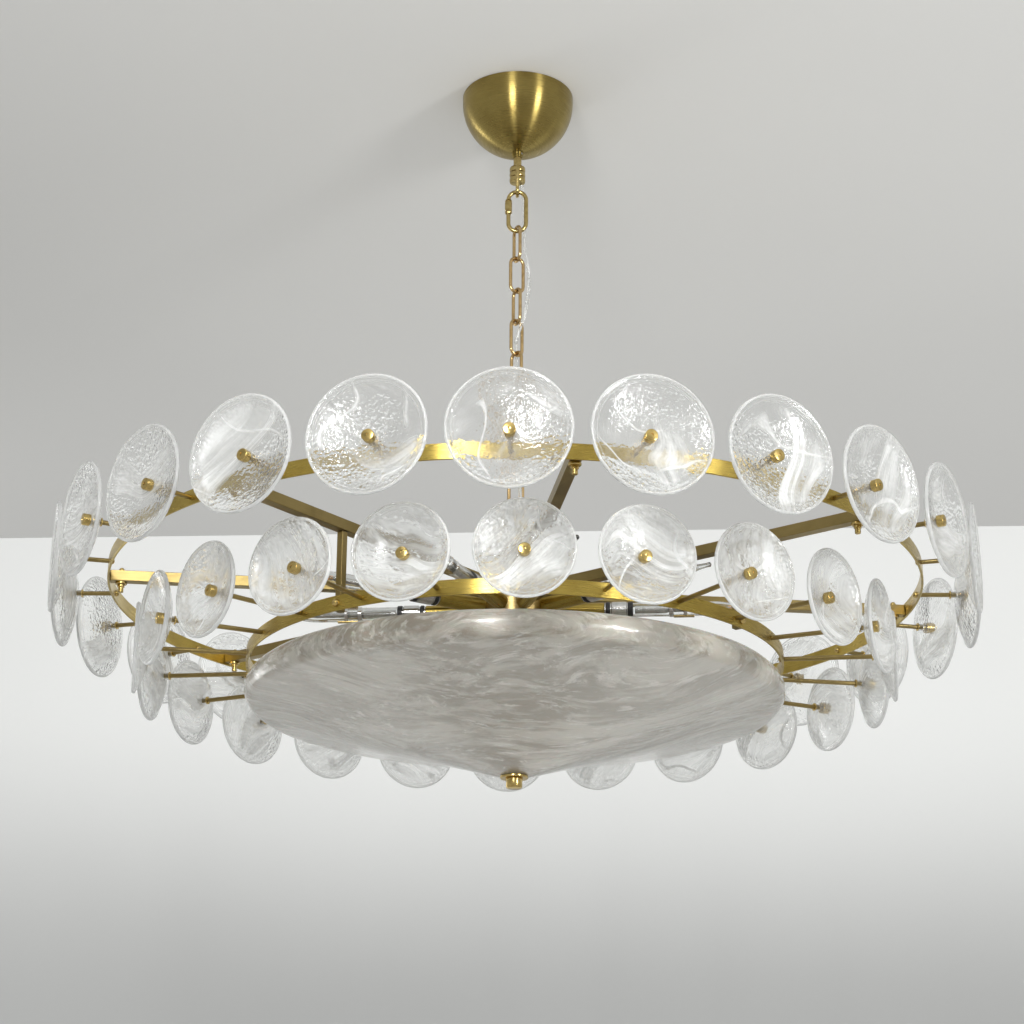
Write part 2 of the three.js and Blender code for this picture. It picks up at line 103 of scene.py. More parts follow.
def put_in_scene(name, data):
    made = bpy.data.objects.new(name, data)
    bpy.context.scene.collection.objects.link(made)
    return made


def make_camera():
    data = bpy.data.cameras.new("camera")
    data.sensor_width = SENSOR_WIDTH
    data.lens = FOCAL_PIXELS / FRAME_PIXELS * SENSOR_WIDTH
    camera = put_in_scene("camera", data)
    place = Matrix.Translation(Vector(CAMERA_PLACE) * MM)
    tilt = Matrix.Rotation(QUARTER + CAMERA_PITCH, 4, "X")
    roll = Matrix.Rotation(CAMERA_ROLL, 4, "Z")
    camera.matrix_world = place @ tilt @ roll
    bpy.context.scene.camera = camera


make_camera()


# The cord's route, with the points of the CAD model: x and y as shares of a link's width,
# and how far down as a share of the drop between the couplings.
CORD_SHARES = [
    (0.26, 0.25, 0.0016), (0.28, 0.33, 0.016), (0.37, 0.41, 0.039),
    (0.44, 0.43, 0.078), (0.45, 0.41, 0.128), (0.45, 0.33, 0.178),
    (0.56, 0.22, 0.225), (0.71, 0.09, 0.278), (0.66, -0.03, 0.337),
    (0.46, -0.12, 0.398), (0.23, -0.06, 0.43), (0, 0, 0.462),
    (-0.03, 0.22, 0.482), (0.01, 0.44, 0.51), (0.02, 0.48, 0.553),
    (-0.02, 0.45, 0.598), (-0.02, 0.23, 0.626), (0, 0, 0.646),
    (0.05, -0.23, 0.666), (0.1, -0.44, 0.694), (0.13, -0.48, 0.737),
    (0.15, -0.445, 0.785), (0.19, -0.46, 0.832), (0.22, -0.43, 0.878),
    (0.28, -0.41, 0.928), (0.31, -0.33, 0.967), (0.26, -0.25, 0.9985),
]

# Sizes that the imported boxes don't give.
LINK_WIDTH = 20
LINK_LENGTH = 48.3
LINK_WIRE = 4
LINKS_PER_NODE = 3
LINK_TWIST = math.radians(7.75) + QUARTER
SECOND_LINK_YAW = math.radians(22)
FIRST_LINK_YAW = math.radians(-64)
COUPLING_LENGTH = 20
COUPLING_RADIUS = 9.5
COUPLING_RINGS = 3
COUPLING_SWELL = 1.4
STEM_RADIUS = 4.8
LOOP_WIRE = 4.2
LOOP_INNER_WIDTH = 9
LOOP_DROP = 17
CORD_RADIUS = 2
CORD_STEPS = 8
QUICK_LINK_WIDTH = 26
QUICK_LINK_WIRE = 5
GATE_HALF = 4.5
SLEEVE_RADIUS = 4.4
PLATE_THICKNESS = 3
PLATE_BOSS_RADIUS = 8.5
PLATE_BOSS_HEIGHT = 7
SLOT_SPACING = 74
SLOT_LENGTH = 14
SLOT_WIDTH = 5
SCREW_HEAD_RADIUS = 4
CANOPY_RADIUS = 66.6
CANOPY_WALL = 1.2
COLLAR_RADIUS = 6.8
COLLAR_LENGTH = 6
HUB_RADIUS = 44
HUB_RISE = 14
HUB_HEIGHT = 23
HUB_EDGE = 3
SPOKE_COUNT = 8
SPOKE_SIZE = 12
FIRST_SPOKE = math.radians(7.2)
END_BOLT_INSET = 12
CENTRE_ROD_RADIUS = 4
LAMP_COUNT = 10
FIRST_LAMP = math.radians(13.3)
LAMP_DROP = 21
CARRIER_HEIGHT = 24
OUTER_RING_RADIUS = 450
INNER_RING_RADIUS = 295.3
BAND_HEIGHT = 16
BAND_THICKNESS = 2.5
POST_SIZE = 7.6
ROD_RADIUS = 2.5
NUT_RADIUS = 3.6
WASHER_RADIUS = 4.6
WASHER_THICKNESS = 1.8
CAP_RADIUS = 6.1
CAP_LENGTH = 8.1
SPACER_LENGTH = 5
SPACER_RADIUS = 3.8
GLASS_THICKNESS = 5.5
GLASS_RIM = 4.6
CLEARANCE = 0.3
BOWL_WALL = 6
SHOULDER_RADIUS = 16
SHOULDER_TOP = math.radians(60)
BOWL_FOOT = 16
BOWL_TIP_LIFT = 4
BOWL_SWELL = 3
FINIAL_KNOB_RADIUS = 9.5
FINIAL_WASHER_RADIUS = 15.5
FINIAL_WASHER_THICKNESS = 2.6

# Heights, in millimetres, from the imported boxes.
HANGER_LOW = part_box("ceiling_hanger")[0][2] / MM
HUB_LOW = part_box("hub_frame")[0][2] / MM
HUB_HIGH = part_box("hub_frame")[1][2] / MM
QUICK_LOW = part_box("quick_link")[0][2] / MM
QUICK_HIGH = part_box("quick_link")[1][2] / MM
UPPER_LOOP_CENTRE = HANGER_LOW + LOOP_WIRE / 2
UPPER_COUPLING_LOW = UPPER_LOOP_CENTRE + LOOP_DROP
UPPER_COUPLING_HIGH = UPPER_COUPLING_LOW + COUPLING_LENGTH
LOWER_LOOP_CENTRE = HUB_HIGH - LOOP_WIRE / 2
LOWER_COUPLING_HIGH = LOWER_LOOP_CENTRE - LOOP_DROP
LOWER_COUPLING_LOW = LOWER_COUPLING_HIGH - COUPLING_LENGTH
OUTER_PLANE = (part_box("outer_ring")[0][2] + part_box("outer_ring")[1][2]) / 2 / MM
INNER_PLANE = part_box("inner_ring")[0][2] / MM + BAND_HEIGHT / 2
HUB_TOP = OUTER_PLANE + HUB_RISE
HUB_BOTTOM = HUB_TOP - HUB_HEIGHT
LAMP_PLANE = OUTER_PLANE - LAMP_DROP
BOWL_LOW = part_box("bowl")[0][2] / MM
BOWL_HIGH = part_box("bowl")[1][2] / MM
BOWL_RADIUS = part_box("bowl")[1][1] / MM
CANOPY_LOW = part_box("canopy")[0][2] / MM
CANOPY_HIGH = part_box("canopy")[1][2] / MM
FINIAL_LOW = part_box("finial")[0][2] / MM
FINIAL_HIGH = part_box("finial")[1][2] / MM


# Materials

class Nodes:
    """A material's node tree, with short calls to add nodes and links."""

    def __init__(self, name):
        self.material = bpy.data.materials.new(name)
        self.material.use_nodes = True
        self.tree = self.material.node_tree
        self.tree.nodes.clear()
        self.output = self.tree.nodes.new("ShaderNodeOutputMaterial")

    def add(self, kind, settings=None, **inputs):
        """A node with its inputs, by name with _ for a space, or by number as i0 and i1."""
        node = self.tree.nodes.new("ShaderNode" + kind)
        for key, value in (settings or {}).items():
            setattr(node, key, value)
        for key, value in inputs.items():
            numbered = key[0] == "i" and key[1:].isdigit()
            self.put(node.inputs[int(key[1:]) if numbered else key.replace("_", " ")], value)
        return node

    def put(self, socket, value):
        if isinstance(value, bpy.types.NodeSocket):
            self.tree.links.new(value, socket)
        elif isinstance(value, bpy.types.Node):
            self.tree.links.new(value.outputs[0], socket)
        else:
            socket.default_value = (*value, 1) if socket.type == "RGBA" else value

    def math(self, operation, first, second=0.0, clamp=False):
        return self.add("Math", {"operation": operation, "use_clamp": clamp}, i0=first, i1=second)

    def plus(self, first, second):
        return self.math("ADD", first, second)

    def minus(self, first, second):
        return self.math("SUBTRACT", first, second)

    def times(self, first, second):
        return self.math("MULTIPLY", first, second)

    def length(self, x, y):
        return self.math("SQRT", self.plus(self.math("POWER", x, 2), self.math("POWER", y, 2)))

    def ramp(self, value, low, high):
        settings = {"interpolation_type": "SMOOTHSTEP"}
        return self.add("MapRange", settings, Value=value, From_Min=low, From_Max=high)

    def mix_colour(self, share, first, second):
        node = self.add("Mix", {"data_type": "RGBA"}, Factor=share)
        self.put(node.inputs[6], first)
        self.put(node.inputs[7], second)
        return node.outputs[2]

    def scaled(self, place, scale):
        return self.add("Mapping", Vector=place, Scale=scale)

    def object_place(self, scale=(1, 1, 1)):
        return self.scaled(self.add("TexCoord").outputs["Object"], scale)

    def noise(self, place, scale, detail=2.0, roughness=0.5, distortion=0.0):
        settings = {"Scale": scale, "Detail": detail, "Roughness": roughness, "Distortion": distortion}
        return self.add("TexNoise", Vector=place, **settings)

    def bump(self, height, distance, strength=1.0):
        return self.add("Bump", Height=height, Distance=distance, Strength=strength)

    def folded(self, place, scale, reach):
        """The place, bent by a slow noise."""
        noise_colour = self.noise(place, scale, 0).outputs["Color"]
        shift = self.add("VectorMath", {"operation": "SUBTRACT"}, i0=noise_colour, i1=(0.5, 0.5, 0.5))
        push = self.add("VectorMath", {"operation": "SCALE"}, i0=shift, Scale=reach)
        return self.add("VectorMath", {"operation": "ADD"}, i0=place, i1=push)

    def surface(self, **look):
        return self.add("BsdfPrincipled", **look)

    def clear(self, tone, roughness, ior, bump):
        """A surface that light passes through."""
        look = {"Base_Color": tone, "Roughness": roughness, "IOR": ior, "Normal": bump}
        return self.surface(**look, Transmission_Weight=1.0)

    def finish(self, shader):
        self.put(self.output.inputs["Surface"], shader)
        return self.material


def brushed_metal(name, base, dark, roughness, spun=0.9):
    """Satin metal with fine lines and faint blotches.

    Spun is how far the shine spreads across lines that run round the Z axis."""
    nodes = Nodes(name)
    line_squeeze = (20, 20, 1500)
    line = nodes.noise(nodes.object_place(line_squeeze), 1, 2, 0.7)
    blotch = nodes.noise(nodes.object_place(), 30, 3, 0.6)
    shade = nodes.mix_colour(nodes.ramp(blotch, 0.35, 0.75), base, dark)
    streak = nodes.mix_colour(nodes.times(nodes.ramp(line, 0.35, 0.7), 0.3), shade, dark)
    rough = nodes.plus(nodes.times(nodes.ramp(line, 0.3, 0.7), 0.1), roughness)
    shader = nodes.surface(Base_Color=streak, Metallic=1.0, Roughness=rough)
    nodes.put(shader.inputs["Normal"], nodes.bump(line, 0.00003, 0.25))
    if spun:
        nodes.put(shader.inputs["Anisotropic"], spun)
        nodes.put(shader.inputs["Anisotropic Rotation"], 0.25)
        tangent = nodes.add("Tangent", {"direction_type": "RADIAL", "axis": "Z"})
        nodes.put(shader.inputs["Tangent"], tangent)
    return nodes.finish(shader)


def smooth_metal(name, base, dark, roughness):
    """Polished or plated metal with light wear."""
    nodes = Nodes(name)
    wear = nodes.noise(nodes.object_place(), 160, 4, 0.65)
    shade = nodes.mix_colour(nodes.ramp(wear, 0.4, 0.75), base, dark)
    rough = nodes.plus(nodes.times(wear, 0.16), roughness)
    bump = nodes.bump(wear, 0.00008, 0.3)
    look = {"Base_Color": shade, "Metallic": 1.0, "Roughness": rough, "Normal": bump}
    return nodes.finish(nodes.surface(**look))


def grainy(name, scale, first, second, roughness, relief=0.0):
    """A plain finish with a fine grain."""
    nodes = Nodes(name)
    grain = nodes.noise(nodes.object_place(), scale, 2)
    look = {"Base_Color": nodes.mix_colour(grain, first, second), "Roughness": roughness}
    if relief:
        look["Normal"] = nodes.bump(grain, 0.00005, relief)
    return nodes.finish(nodes.surface(**look))


def clear_glass():
    """Plain clear glass of the lamp tubes and spacers, with faint waves."""
    nodes = Nodes("clear_glass")
    wave = nodes.noise(nodes.object_place(), 90, 2)
    bump = nodes.bump(wave, 0.0004, 0.3)
    return nodes.finish(nodes.clear((0.97, 0.98, 0.98), 0.02, 1.47, bump))


def clear_plastic():
    """The cord: clear plastic over a faintly showing pale core, with pale streaks that are painted highlight.
    """
    nodes = Nodes("clear_plastic")
    # The streaks are painted highlight: pale bands laid along the cord where it catches the light.
    streak = nodes.ramp(nodes.noise(nodes.object_place((260, 260, 14)), 1, 2), 0.45, 0.7)
    bump = nodes.bump(streak, 0.0003, 0.3)
    clear = nodes.clear((0.96, 0.97, 0.96), 0.06, 1.4, bump)
    pale = nodes.surface(Base_Color=(0.86, 0.87, 0.85), Roughness=0.2)
    share = nodes.plus(nodes.times(streak, 0.5), 0.15)
    return nodes.finish(nodes.add("MixShader", Fac=share, i1=clear, i2=pale))


def swirled_glass(name, haze):
    """The discs: clear cast glass with milky ribbons inside, a hammered skin in patches, and a white rim that
    is painted reflection.

    glass_place holds a point's place on its disc in radii, and a number that differs from disc to disc."""
    nodes = Nodes(name)
    place = nodes.add("Attribute", {"attribute_name": "glass_place"}).outputs["Vector"]
    split = nodes.add("SeparateXYZ", Vector=place)
    radius = nodes.length(split.outputs[0], split.outputs[1])

    # Slow folds bend the place, so that what is straight there lies in curves on the disc.
    folded = nodes.folded(nodes.folded(place, 0.55, 1.7), 1.2, 0.5)
    other = nodes.add("VectorMath", {"operation": "ADD"}, i0=folded, i1=(7, 3, 1))
    saw = nodes.add("TexWave", {"wave_profile": "SAW"}, Vector=folded, Scale=0.19)
    curled = nodes.folded(nodes.folded(place, 0.9, 1.9), 1.9, 0.35)
    line = nodes.add("TexWave", {"bands_direction": "Y"}, Vector=curled, Scale=0.26)
    strand = nodes.ramp(nodes.noise(nodes.scaled(folded, (7, 0.8, 0.8)), 1, 3, 0.6), 0.38, 0.7)

    # The milk is broad ribbons of strands, thin threads, clouds and haze, and gets weaker towards
    # the border. The rim and a line just inside it are white, as painted reflection of the bright room in the
    # bead.
    ribbon = nodes.times(nodes.ramp(saw, 0.3, 1.0), nodes.ramp(nodes.noise(other, 0.5, 0), 0.38, 0.6))
    thread_part = nodes.ramp(line, 0.985, 1.0)
    thread = nodes.times(thread_part, nodes.ramp(nodes.noise(other, 0.8, 0), 0.42, 0.55))
    cloud = nodes.ramp(nodes.noise(other, 0.9, 3, 0.55), 0.5, 0.72)
    milk = nodes.times(ribbon, nodes.plus(nodes.times(strand, 0.8), 0.3))
    milk = nodes.plus(milk, nodes.times(thread, 0.55))
    milk = nodes.plus(milk, nodes.times(nodes.times(cloud, strand), 0.65))
    milk = nodes.plus(milk, nodes.times(strand, haze))
    border = nodes.minus(1.0, nodes.times(nodes.ramp(radius, 0.78, 0.87), 0.65))
    milk = nodes.times(milk, border)
    # Painted reflection: the rim and a line just inside it are laid in as white milk, standing for the bright
    # room caught in the bead.
    rim = nodes.times(nodes.ramp(radius, 0.945, 0.975), 0.55)
    inner_rim_glint = nodes.ramp(nodes.math("ABSOLUTE", nodes.minus(radius, 0.895)), 0.012, 0.0)
    rim = nodes.math("MAXIMUM", rim, nodes.times(inner_rim_glint, 0.28))
    milk = nodes.math("ADD", nodes.math("MAXIMUM", milk, rim), haze, clamp=True)

    # The skin is finely uneven all over, and hammered in patches and along the rim.
    skin_place = nodes.object_place()
    hammer = {"Scale": 280, "Smoothness": 0.6}
    lump = nodes.add("TexVoronoi", {"feature": "SMOOTH_F1"}, Vector=skin_place, **hammer)
    ripple = nodes.noise(skin_place, 190, 2, 0.5, 0.5)
    patch = nodes.ramp(nodes.noise(other, 0.7, 0), 0.5, 0.66)
    rim_part = nodes.ramp(radius, 0.66, 0.84)
    near_rim = nodes.times(rim_part, nodes.ramp(nodes.noise(other, 0.5, 0), 0.42, 0.58))
    amount = nodes.times(nodes.plus(nodes.math("MAXIMUM", patch, near_rim), 0.3), 0.55)
    height = nodes.times(nodes.plus(lump.outputs["Distance"], ripple), amount)
    height = nodes.plus(height, nodes.times(nodes.noise(skin_place, 340, 2, 0.6), 0.12))
    bump = nodes.bump(height, 0.0013, 0.75)

    clear = nodes.clear((0.985, 0.99, 0.988), 0.01, 1.5, bump)
    milk_colour = (0.94, 0.95, 0.94)
    white = nodes.surface(Base_Color=milk_colour, Roughness=0.06, Normal=bump)
    through = nodes.add("BsdfTranslucent", Color=milk_colour, Normal=bump)
    milky = nodes.add("MixShader", Fac=0.4, i1=white, i2=through)
    return nodes.finish(nodes.add("MixShader", Fac=milk, i1=clear, i2=milky))


def cloudy_glass():
    """The bowl: cloudy grey-beige glass with long streaks across it, a little paler towards the rim, which is
    painted shade that leaves the middle darker.
    """
    nodes = Nodes("cloudy_glass")
    place = nodes.add("TexCoord").outputs["Object"]
    split = nodes.add("SeparateXYZ", Vector=place)
    radius = nodes.length(split.outputs[0], split.outputs[1])

    # The streaks run across, and slow folds bend them.
    folded = nodes.folded(nodes.folded(place, 5, 0.16), 16, 0.03)
    drawn = nodes.scaled(folded, (7, 34, 34))
    streak = nodes.noise(drawn, 1, 7, 0.68, 0.4)
    cloud = nodes.noise(folded, 8, 5, 0.6, 0.4)
    wisp = nodes.ramp(nodes.noise(drawn, 2.4, 7, 0.74, 0.5), 0.51, 0.6)
    brush = nodes.noise(nodes.scaled(folded, (22, 190, 190)), 1, 4, 0.65)

    tone = nodes.plus(nodes.times(streak, 0.6), nodes.times(cloud, 0.4))
    # Painted shade: the tone rises a little away from the middle, so the middle round the foot stays darker.
    tone = nodes.plus(tone, nodes.times(nodes.ramp(radius, 0.1, 0.28), 0.025))
    low, high = (0.39, 0.355, 0.295), (0.66, 0.635, 0.57)
    body = nodes.mix_colour(nodes.ramp(tone, 0.45, 0.57), low, high)
    light = nodes.times(wisp, nodes.plus(nodes.times(nodes.ramp(brush, 0.35, 0.65), 0.6), 0.25))
    body = nodes.mix_colour(light, body, (0.94, 0.93, 0.88))
    wave = nodes.noise(folded, 26, 3, 0.5)
    height = nodes.plus(nodes.times(wave, 1.1), nodes.times(brush, 0.5))
    height = nodes.plus(height, nodes.times(wisp, 0.12))
    shader = nodes.surface(
        Base_Color=body,
        Roughness=0.2,
        IOR=1.5,
        Normal=nodes.bump(height, 0.0022, 0.4),
        Transmission_Weight=0.15,
        Subsurface_Weight=0.2,
        Subsurface_Scale=0.004,
        Coat_Weight=1.0,
        Coat_Roughness=0.07,
        Coat_IOR=1.75,
        Coat_Tint=(1, 0.985, 0.95),
        Coat_Normal=nodes.bump(height, 0.0022, 0.3),
    )
    return nodes.finish(shader)


BRASS = brushed_metal("spun_brass", (0.52, 0.385, 0.095), (0.39, 0.28, 0.065), 0.25)
CANOPY_BRASS = brushed_metal("canopy_brass", (0.34, 0.26, 0.082), (0.27, 0.20, 0.06), 0.25, 0.97)
# A darker copy of the spun brass for the hub, centre rod and lamp carrier: painted shade for parts that sit
# in shade under the discs.
SHADED_HUB_BRASS = brushed_metal("hub_brass_painted_shade", (0.28, 0.21, 0.088), (0.20, 0.147, 0.06), 0.26, 0.6)
# Darker brass, not spun, for the spokes, posts and ring rods: painted shade for bars seen from below in
# shade.
SHADED_BAR_BRASS = brushed_metal("bar_brass_painted_shade", (0.31, 0.234, 0.092), (0.23, 0.17, 0.064), 0.3, 0)
POLISHED_BRASS = smooth_metal("polished_brass", (0.56, 0.415, 0.155), (0.36, 0.26, 0.09), 0.12)
LINE_BRASS = smooth_metal("line_brass", (0.50, 0.385, 0.16), (0.34, 0.25, 0.09), 0.12)
CHAIN_BRASS = smooth_metal("chain_brass", (0.58, 0.41, 0.20), (0.40, 0.27, 0.12), 0.14)
SILVER = smooth_metal("silver_metal", (0.72, 0.72, 0.71), (0.5, 0.5, 0.5), 0.12)
STEEL = smooth_metal("zinc_steel", (0.55, 0.55, 0.54), (0.4, 0.4, 0.4), 0.3)
RUBBER = grainy("black_rubber", 900, (0.012, 0.012, 0.012), (0.03, 0.03, 0.03), 0.45, 0.5)
# The orange phosphor of the light-emitting chips.
CHIP = grainy("light_chip", 700, (0.95, 0.42, 0.12), (0.98, 0.58, 0.25), 0.4)
GLASS = clear_glass()
PLASTIC = clear_plastic()
OUTER_HAZE = 0.05
INNER_HAZE = 0.2
SWIRLED = {
    "outer": swirled_glass("outer_swirled_glass", OUTER_HAZE),
    "inner": swirled_glass("inner_swirled_glass", INNER_HAZE),
}
CLOUDY = cloudy_glass()


# Forms

class Form:
    """A mesh under construction, in millimetres, with a material for each face."""

    def __init__(self):
        self.mesh = bmesh.new()
        self.materials = []

    def index(self, material):
        if material not in self.materials:
            self.materials.append(material)
        return self.materials.index(material)

    def face(self, corners, index):
        self.mesh.faces.new(corners).material_index = index

    def skin(self, rings, material, closed):
        """Faces between rings of vertices. A ring may be one vertex."""
        index = self.index(material)
        for near, far in zip(rings, rings[1:] + rings[:1] if closed else rings[1:]):
            sides = max(len(near), len(far))
            for side in range(sides):
                spots = ((near, side), (near, side + 1), (far, side + 1), (far, side))
                corners = [ring[spot % sides % len(ring)] for ring, spot in spots]
                self.face(list(dict.fromkeys(corners)), index)

    def lathe(self, profile, sides, material, place=Matrix()):
        """Revolves (radius, height) points about Z. A profile off the axis at both ends closes."""
        rings = []
        for radius, height in profile:
            ring = []
            for side in range(1 if radius == 0 else sides):
                turn = TAU * side / sides
                point = Vector((radius * math.cos(turn), radius * math.sin(turn), height))
                ring.append(self.mesh.verts.new(place @ point))
            rings.append(ring)
        self.skin(rings, material, profile[0][0] > 0 and profile[-1][0] > 0)

    def tube(self, stations, radius, sides, material, closed, place=Matrix()):
        """A round wire through stations of (centre, outward, across)."""
        rings = []
        for centre, outward, across in stations:
            ring = []
            for side in range(sides):
                turn = TAU * side / sides
                offset = outward * math.cos(turn) + across * math.sin(turn)
                ring.append(self.mesh.verts.new(place @ (centre + offset * radius)))
            rings.append(ring)
        self.skin(rings, material, closed)
        if not closed:
            self.face(list(reversed(rings[0])), self.index(material))
            self.face(rings[-1], self.index(material))

    def box(self, low, high, material, place=Matrix()):
        corners = [
            self.mesh.verts.new(place @ Vector((x, y, z)))
            for x in (low[0], high[0])
            for y in (low[1], high[1])
            for z in (low[2], high[2])
        ]
        index = self.index(material)
        for sides in ((0, 1, 3, 2), (4, 6, 7, 5), (0, 4, 5, 1), (2, 3, 7, 6), (0, 2, 6, 4), (1, 5, 7, 3)):
            self.face([corners[side] for side in sides], index)

    def piece(self, name, body="fixture", slot="brass", nodes=(), bevel=0.0, crease=34):
        """Makes the object, in metres, with its faces' materials, ties it to its body and hides the CAD nodes
        it stands for.

        Crease is the angle in degrees from which an edge stays sharp. Bevel rounds such edges. Slot is not
        used."""
        bmesh.ops.recalc_face_normals(self.mesh, faces=self.mesh.faces[:])
        bmesh.ops.scale(self.mesh, vec=(MM, MM, MM), verts=self.mesh.verts[:])
        data = bpy.data.meshes.new(name)
        self.mesh.to_mesh(data)
        self.mesh.free()
        for material in self.materials:
            data.materials.append(material)
        data.shade_smooth()
        data.set_sharp_from_angle(angle=math.radians(crease))
        made = put_in_scene(name, data)
        if bevel:
            modifier = made.modifiers.new("rounded_edges", "BEVEL")
            modifier.width = bevel * MM
            modifier.segments = 2
            modifier.limit_method = "ANGLE"
            modifier.angle_limit = math.radians(crease)
            modifier.harden_normals = True
        if body:
            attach(made, body)
        if nodes:
            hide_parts(*nodes)
        return made


def lathe_piece(name, profile, sides, material, place=Matrix(), **about):
    form = Form()
    form.lathe(profile, sides, material, place)
    form.piece(name, **about)


def turned(angle, height=0.0):
    return Matrix.Translation((0, 0, height)) @ Matrix.Rotation(angle, 4, "Z")


def outward(angle, height):
    """Lays a lathe's axis along the outward direction at that angle."""
    return turned(angle, height) @ Matrix.Rotation(QUARTER, 4, "Y")


def bar_profile(radius, start, end, soft=0.0, bore=0.0):
    """A lathe's profile for a round bar, or a washer on a bore, with its outer edges cut by soft."""
    if not soft:
        return [(bore, start), (radius, start), (radius, end), (bore, end)]
    side = [(radius, start + soft), (radius, end - soft)]
    return [(bore, start), (radius - soft, start), *side, (radius - soft, end), (bore, end)]


def arc(centre_radius, centre_height, radius, start, end, steps):
    """Points of an arc in a lathe's profile, from one angle to another."""
    points = []
    for step in range(steps + 1):
        angle = start + (end - start) * step / steps
        points.append((centre_radius + radius * math.cos(angle), centre_height + radius * math.sin(angle)))
    return points


def oblong(width, length, steps):
    """Stations of an oblong wire in the XZ plane about the origin, anticlockwise from its right side."""
    bend, rise = width / 2, (length - width) / 2
    across = Vector((0, 1, 0))
    stations = []
    for side in (1, -1):
        for step in range(steps + 1):
            angle = (0 if side > 0 else math.pi) + math.pi * step / steps
            way = Vector((math.cos(angle), 0, math.sin(angle)))
            stations.append((way * bend + Vector((0, 0, side * rise)), way, across))
    return stations


# The hanging line

def make_hanger():
    bar = Form()
    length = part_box("ceiling_hanger")[1][0] / MM
    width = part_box("ceiling_hanger")[1][1] / MM
    for side in (-1, 1):
        edges = sorted((side * SLOT_WIDTH / 2, side * width))
        bar.box((-length, edges[0], -PLATE_THICKNESS), (length, edges[1], 0), STEEL)
    near, far = SLOT_SPACING / 2 - SLOT_LENGTH / 2, SLOT_SPACING / 2 + SLOT_LENGTH / 2
    for start, end in ((-length, -far), (-near, near), (far, length)):
        bar.box((start, -SLOT_WIDTH / 2, -PLATE_THICKNESS), (end, SLOT_WIDTH / 2, 0), STEEL)
    boss_low = -PLATE_THICKNESS - PLATE_BOSS_HEIGHT
    bar.lathe(bar_profile(PLATE_BOSS_RADIUS, boss_low, -PLATE_THICKNESS), 6, STEEL)
    for side in (-1, 1):
        head = Matrix.Translation((side * SLOT_SPACING / 2, 0, 0))
        dome = arc(0, -PLATE_THICKNESS, SCREW_HEAD_RADIUS, -QUARTER, 0, 6)
        bar.lathe(dome + [(0, -PLATE_THICKNESS)], 20, STEEL, head)
    bar.piece("crossbar", "ceiling", nodes=["ceiling_hanger"], bevel=0.3)

    profile = coupling_profile(boss_low, UPPER_COUPLING_HIGH, -1) + [(0, UPPER_COUPLING_LOW)]
    lathe_piece("upper_stem", profile, 48, LINE_BRASS, body="ceiling")
    make_loop("upper_loop", "ceiling", UPPER_LOOP_CENTRE + LOOP_WIRE / 2, 1, QUARTER)


def coupling_profile(stem_end, coupling_start, way):
    """From the stem's far end to the coupling's free face: rounded rings with grooves between."""
    points = [(0, stem_end), (STEM_RADIUS, stem_end), (STEM_RADIUS, coupling_start)]
    ring = COUPLING_LENGTH / COUPLING_RINGS
    steps = 8
    for number in range(COUPLING_RINGS):
        centre = coupling_start + way * ring * (number + 0.5)
        for step in range(steps + 1):
            turn = math.pi * step / steps
            radius = COUPLING_RADIUS - COUPLING_SWELL + COUPLING_SWELL * math.sin(turn) ** 0.6
            points.append((radius, centre - way * ring * 0.5 * math.cos(turn)))
    return points


def make_loop(name, body, end, way, yaw):
    """The wire loop of a coupling. Its legs run along the coupling's sides to its far end."""
    bend = (LOOP_INNER_WIDTH + LOOP_WIRE) / 2
    leg = COUPLING_RADIUS + LOOP_WIRE * 0.15
    across = Vector((0, 1, 0))
    leg_points = ((leg, LOOP_DROP + COUPLING_LENGTH), (leg, LOOP_DROP + 1), (bend, bend + 3), (bend, bend))
    legs = []
    for side in (-1, 1):
        legs.append([(Vector((side * x, 0, way * z)), Vector((side, 0, 0)), across) for x, z in leg_points])
    round_end = []
    steps = 16
    for step in range(1, steps):
        turn = math.pi * step / steps
        out = Vector((-math.cos(turn), 0, -way * math.sin(turn)))
        round_end.append((out * bend + Vector((0, 0, way * bend)), out, across))
    path = legs[0] + round_end + list(reversed(legs[1]))
    loop = Form()
    loop.tube(path, LOOP_WIRE / 2, 20, LINE_BRASS, False, turned(yaw, end - way * LOOP_WIRE / 2))
    loop.piece(name, body)


def make_canopy():
    centre = CANOPY_LOW + COLLAR_LENGTH + CANOPY_RADIUS
    inner = CANOPY_RADIUS - CANOPY_WALL
    collar_angle = math.asin(COLLAR_RADIUS / CANOPY_RADIUS)
    hole = STEM_RADIUS + CLEARANCE
    hole_angle = math.asin(hole / inner)
    # The collar has a narrow neck with a cut edge, then a wider ring with soft edges.
    neck, cut, soft = COLLAR_RADIUS - 0.9, 0.4, 0.3
    step = CANOPY_LOW + COLLAR_LENGTH * 0.42
    profile = [
        (hole, CANOPY_LOW),
        (neck - cut, CANOPY_LOW),
        (neck, CANOPY_LOW + cut),
        (neck, step),
        (COLLAR_RADIUS - soft, step),
        (COLLAR_RADIUS, step + soft),
        (COLLAR_RADIUS, centre - CANOPY_RADIUS + soft),
    ]
    profile += arc(0, centre, CANOPY_RADIUS, collar_angle - QUARTER, 0, 40)
    profile += [(CANOPY_RADIUS, CANOPY_HIGH), (inner, CANOPY_HIGH)]
    profile += arc(0, centre, inner, 0, hole_angle - QUARTER, 30)
    lathe_piece("canopy_dome", profile, 128, CANOPY_BRASS, body="canopy", nodes=["canopy"], crease=28)

    # The small screw in the collar's side, with a socket in its end.
    lay = outward(math.radians(-40), CANOPY_LOW + COLLAR_LENGTH * 0.7)
    start, head, socket = COLLAR_RADIUS - 0.4, 1.4, 0.7
    rim, floor = start + 0.7, start + 0.3
    profile = [(0, start), (head, start), (head, rim), (socket, rim + 0.2), (socket, floor), (0, floor)]
    lathe_piece("collar_screw", profile, 16, STEEL, lay, body="canopy")


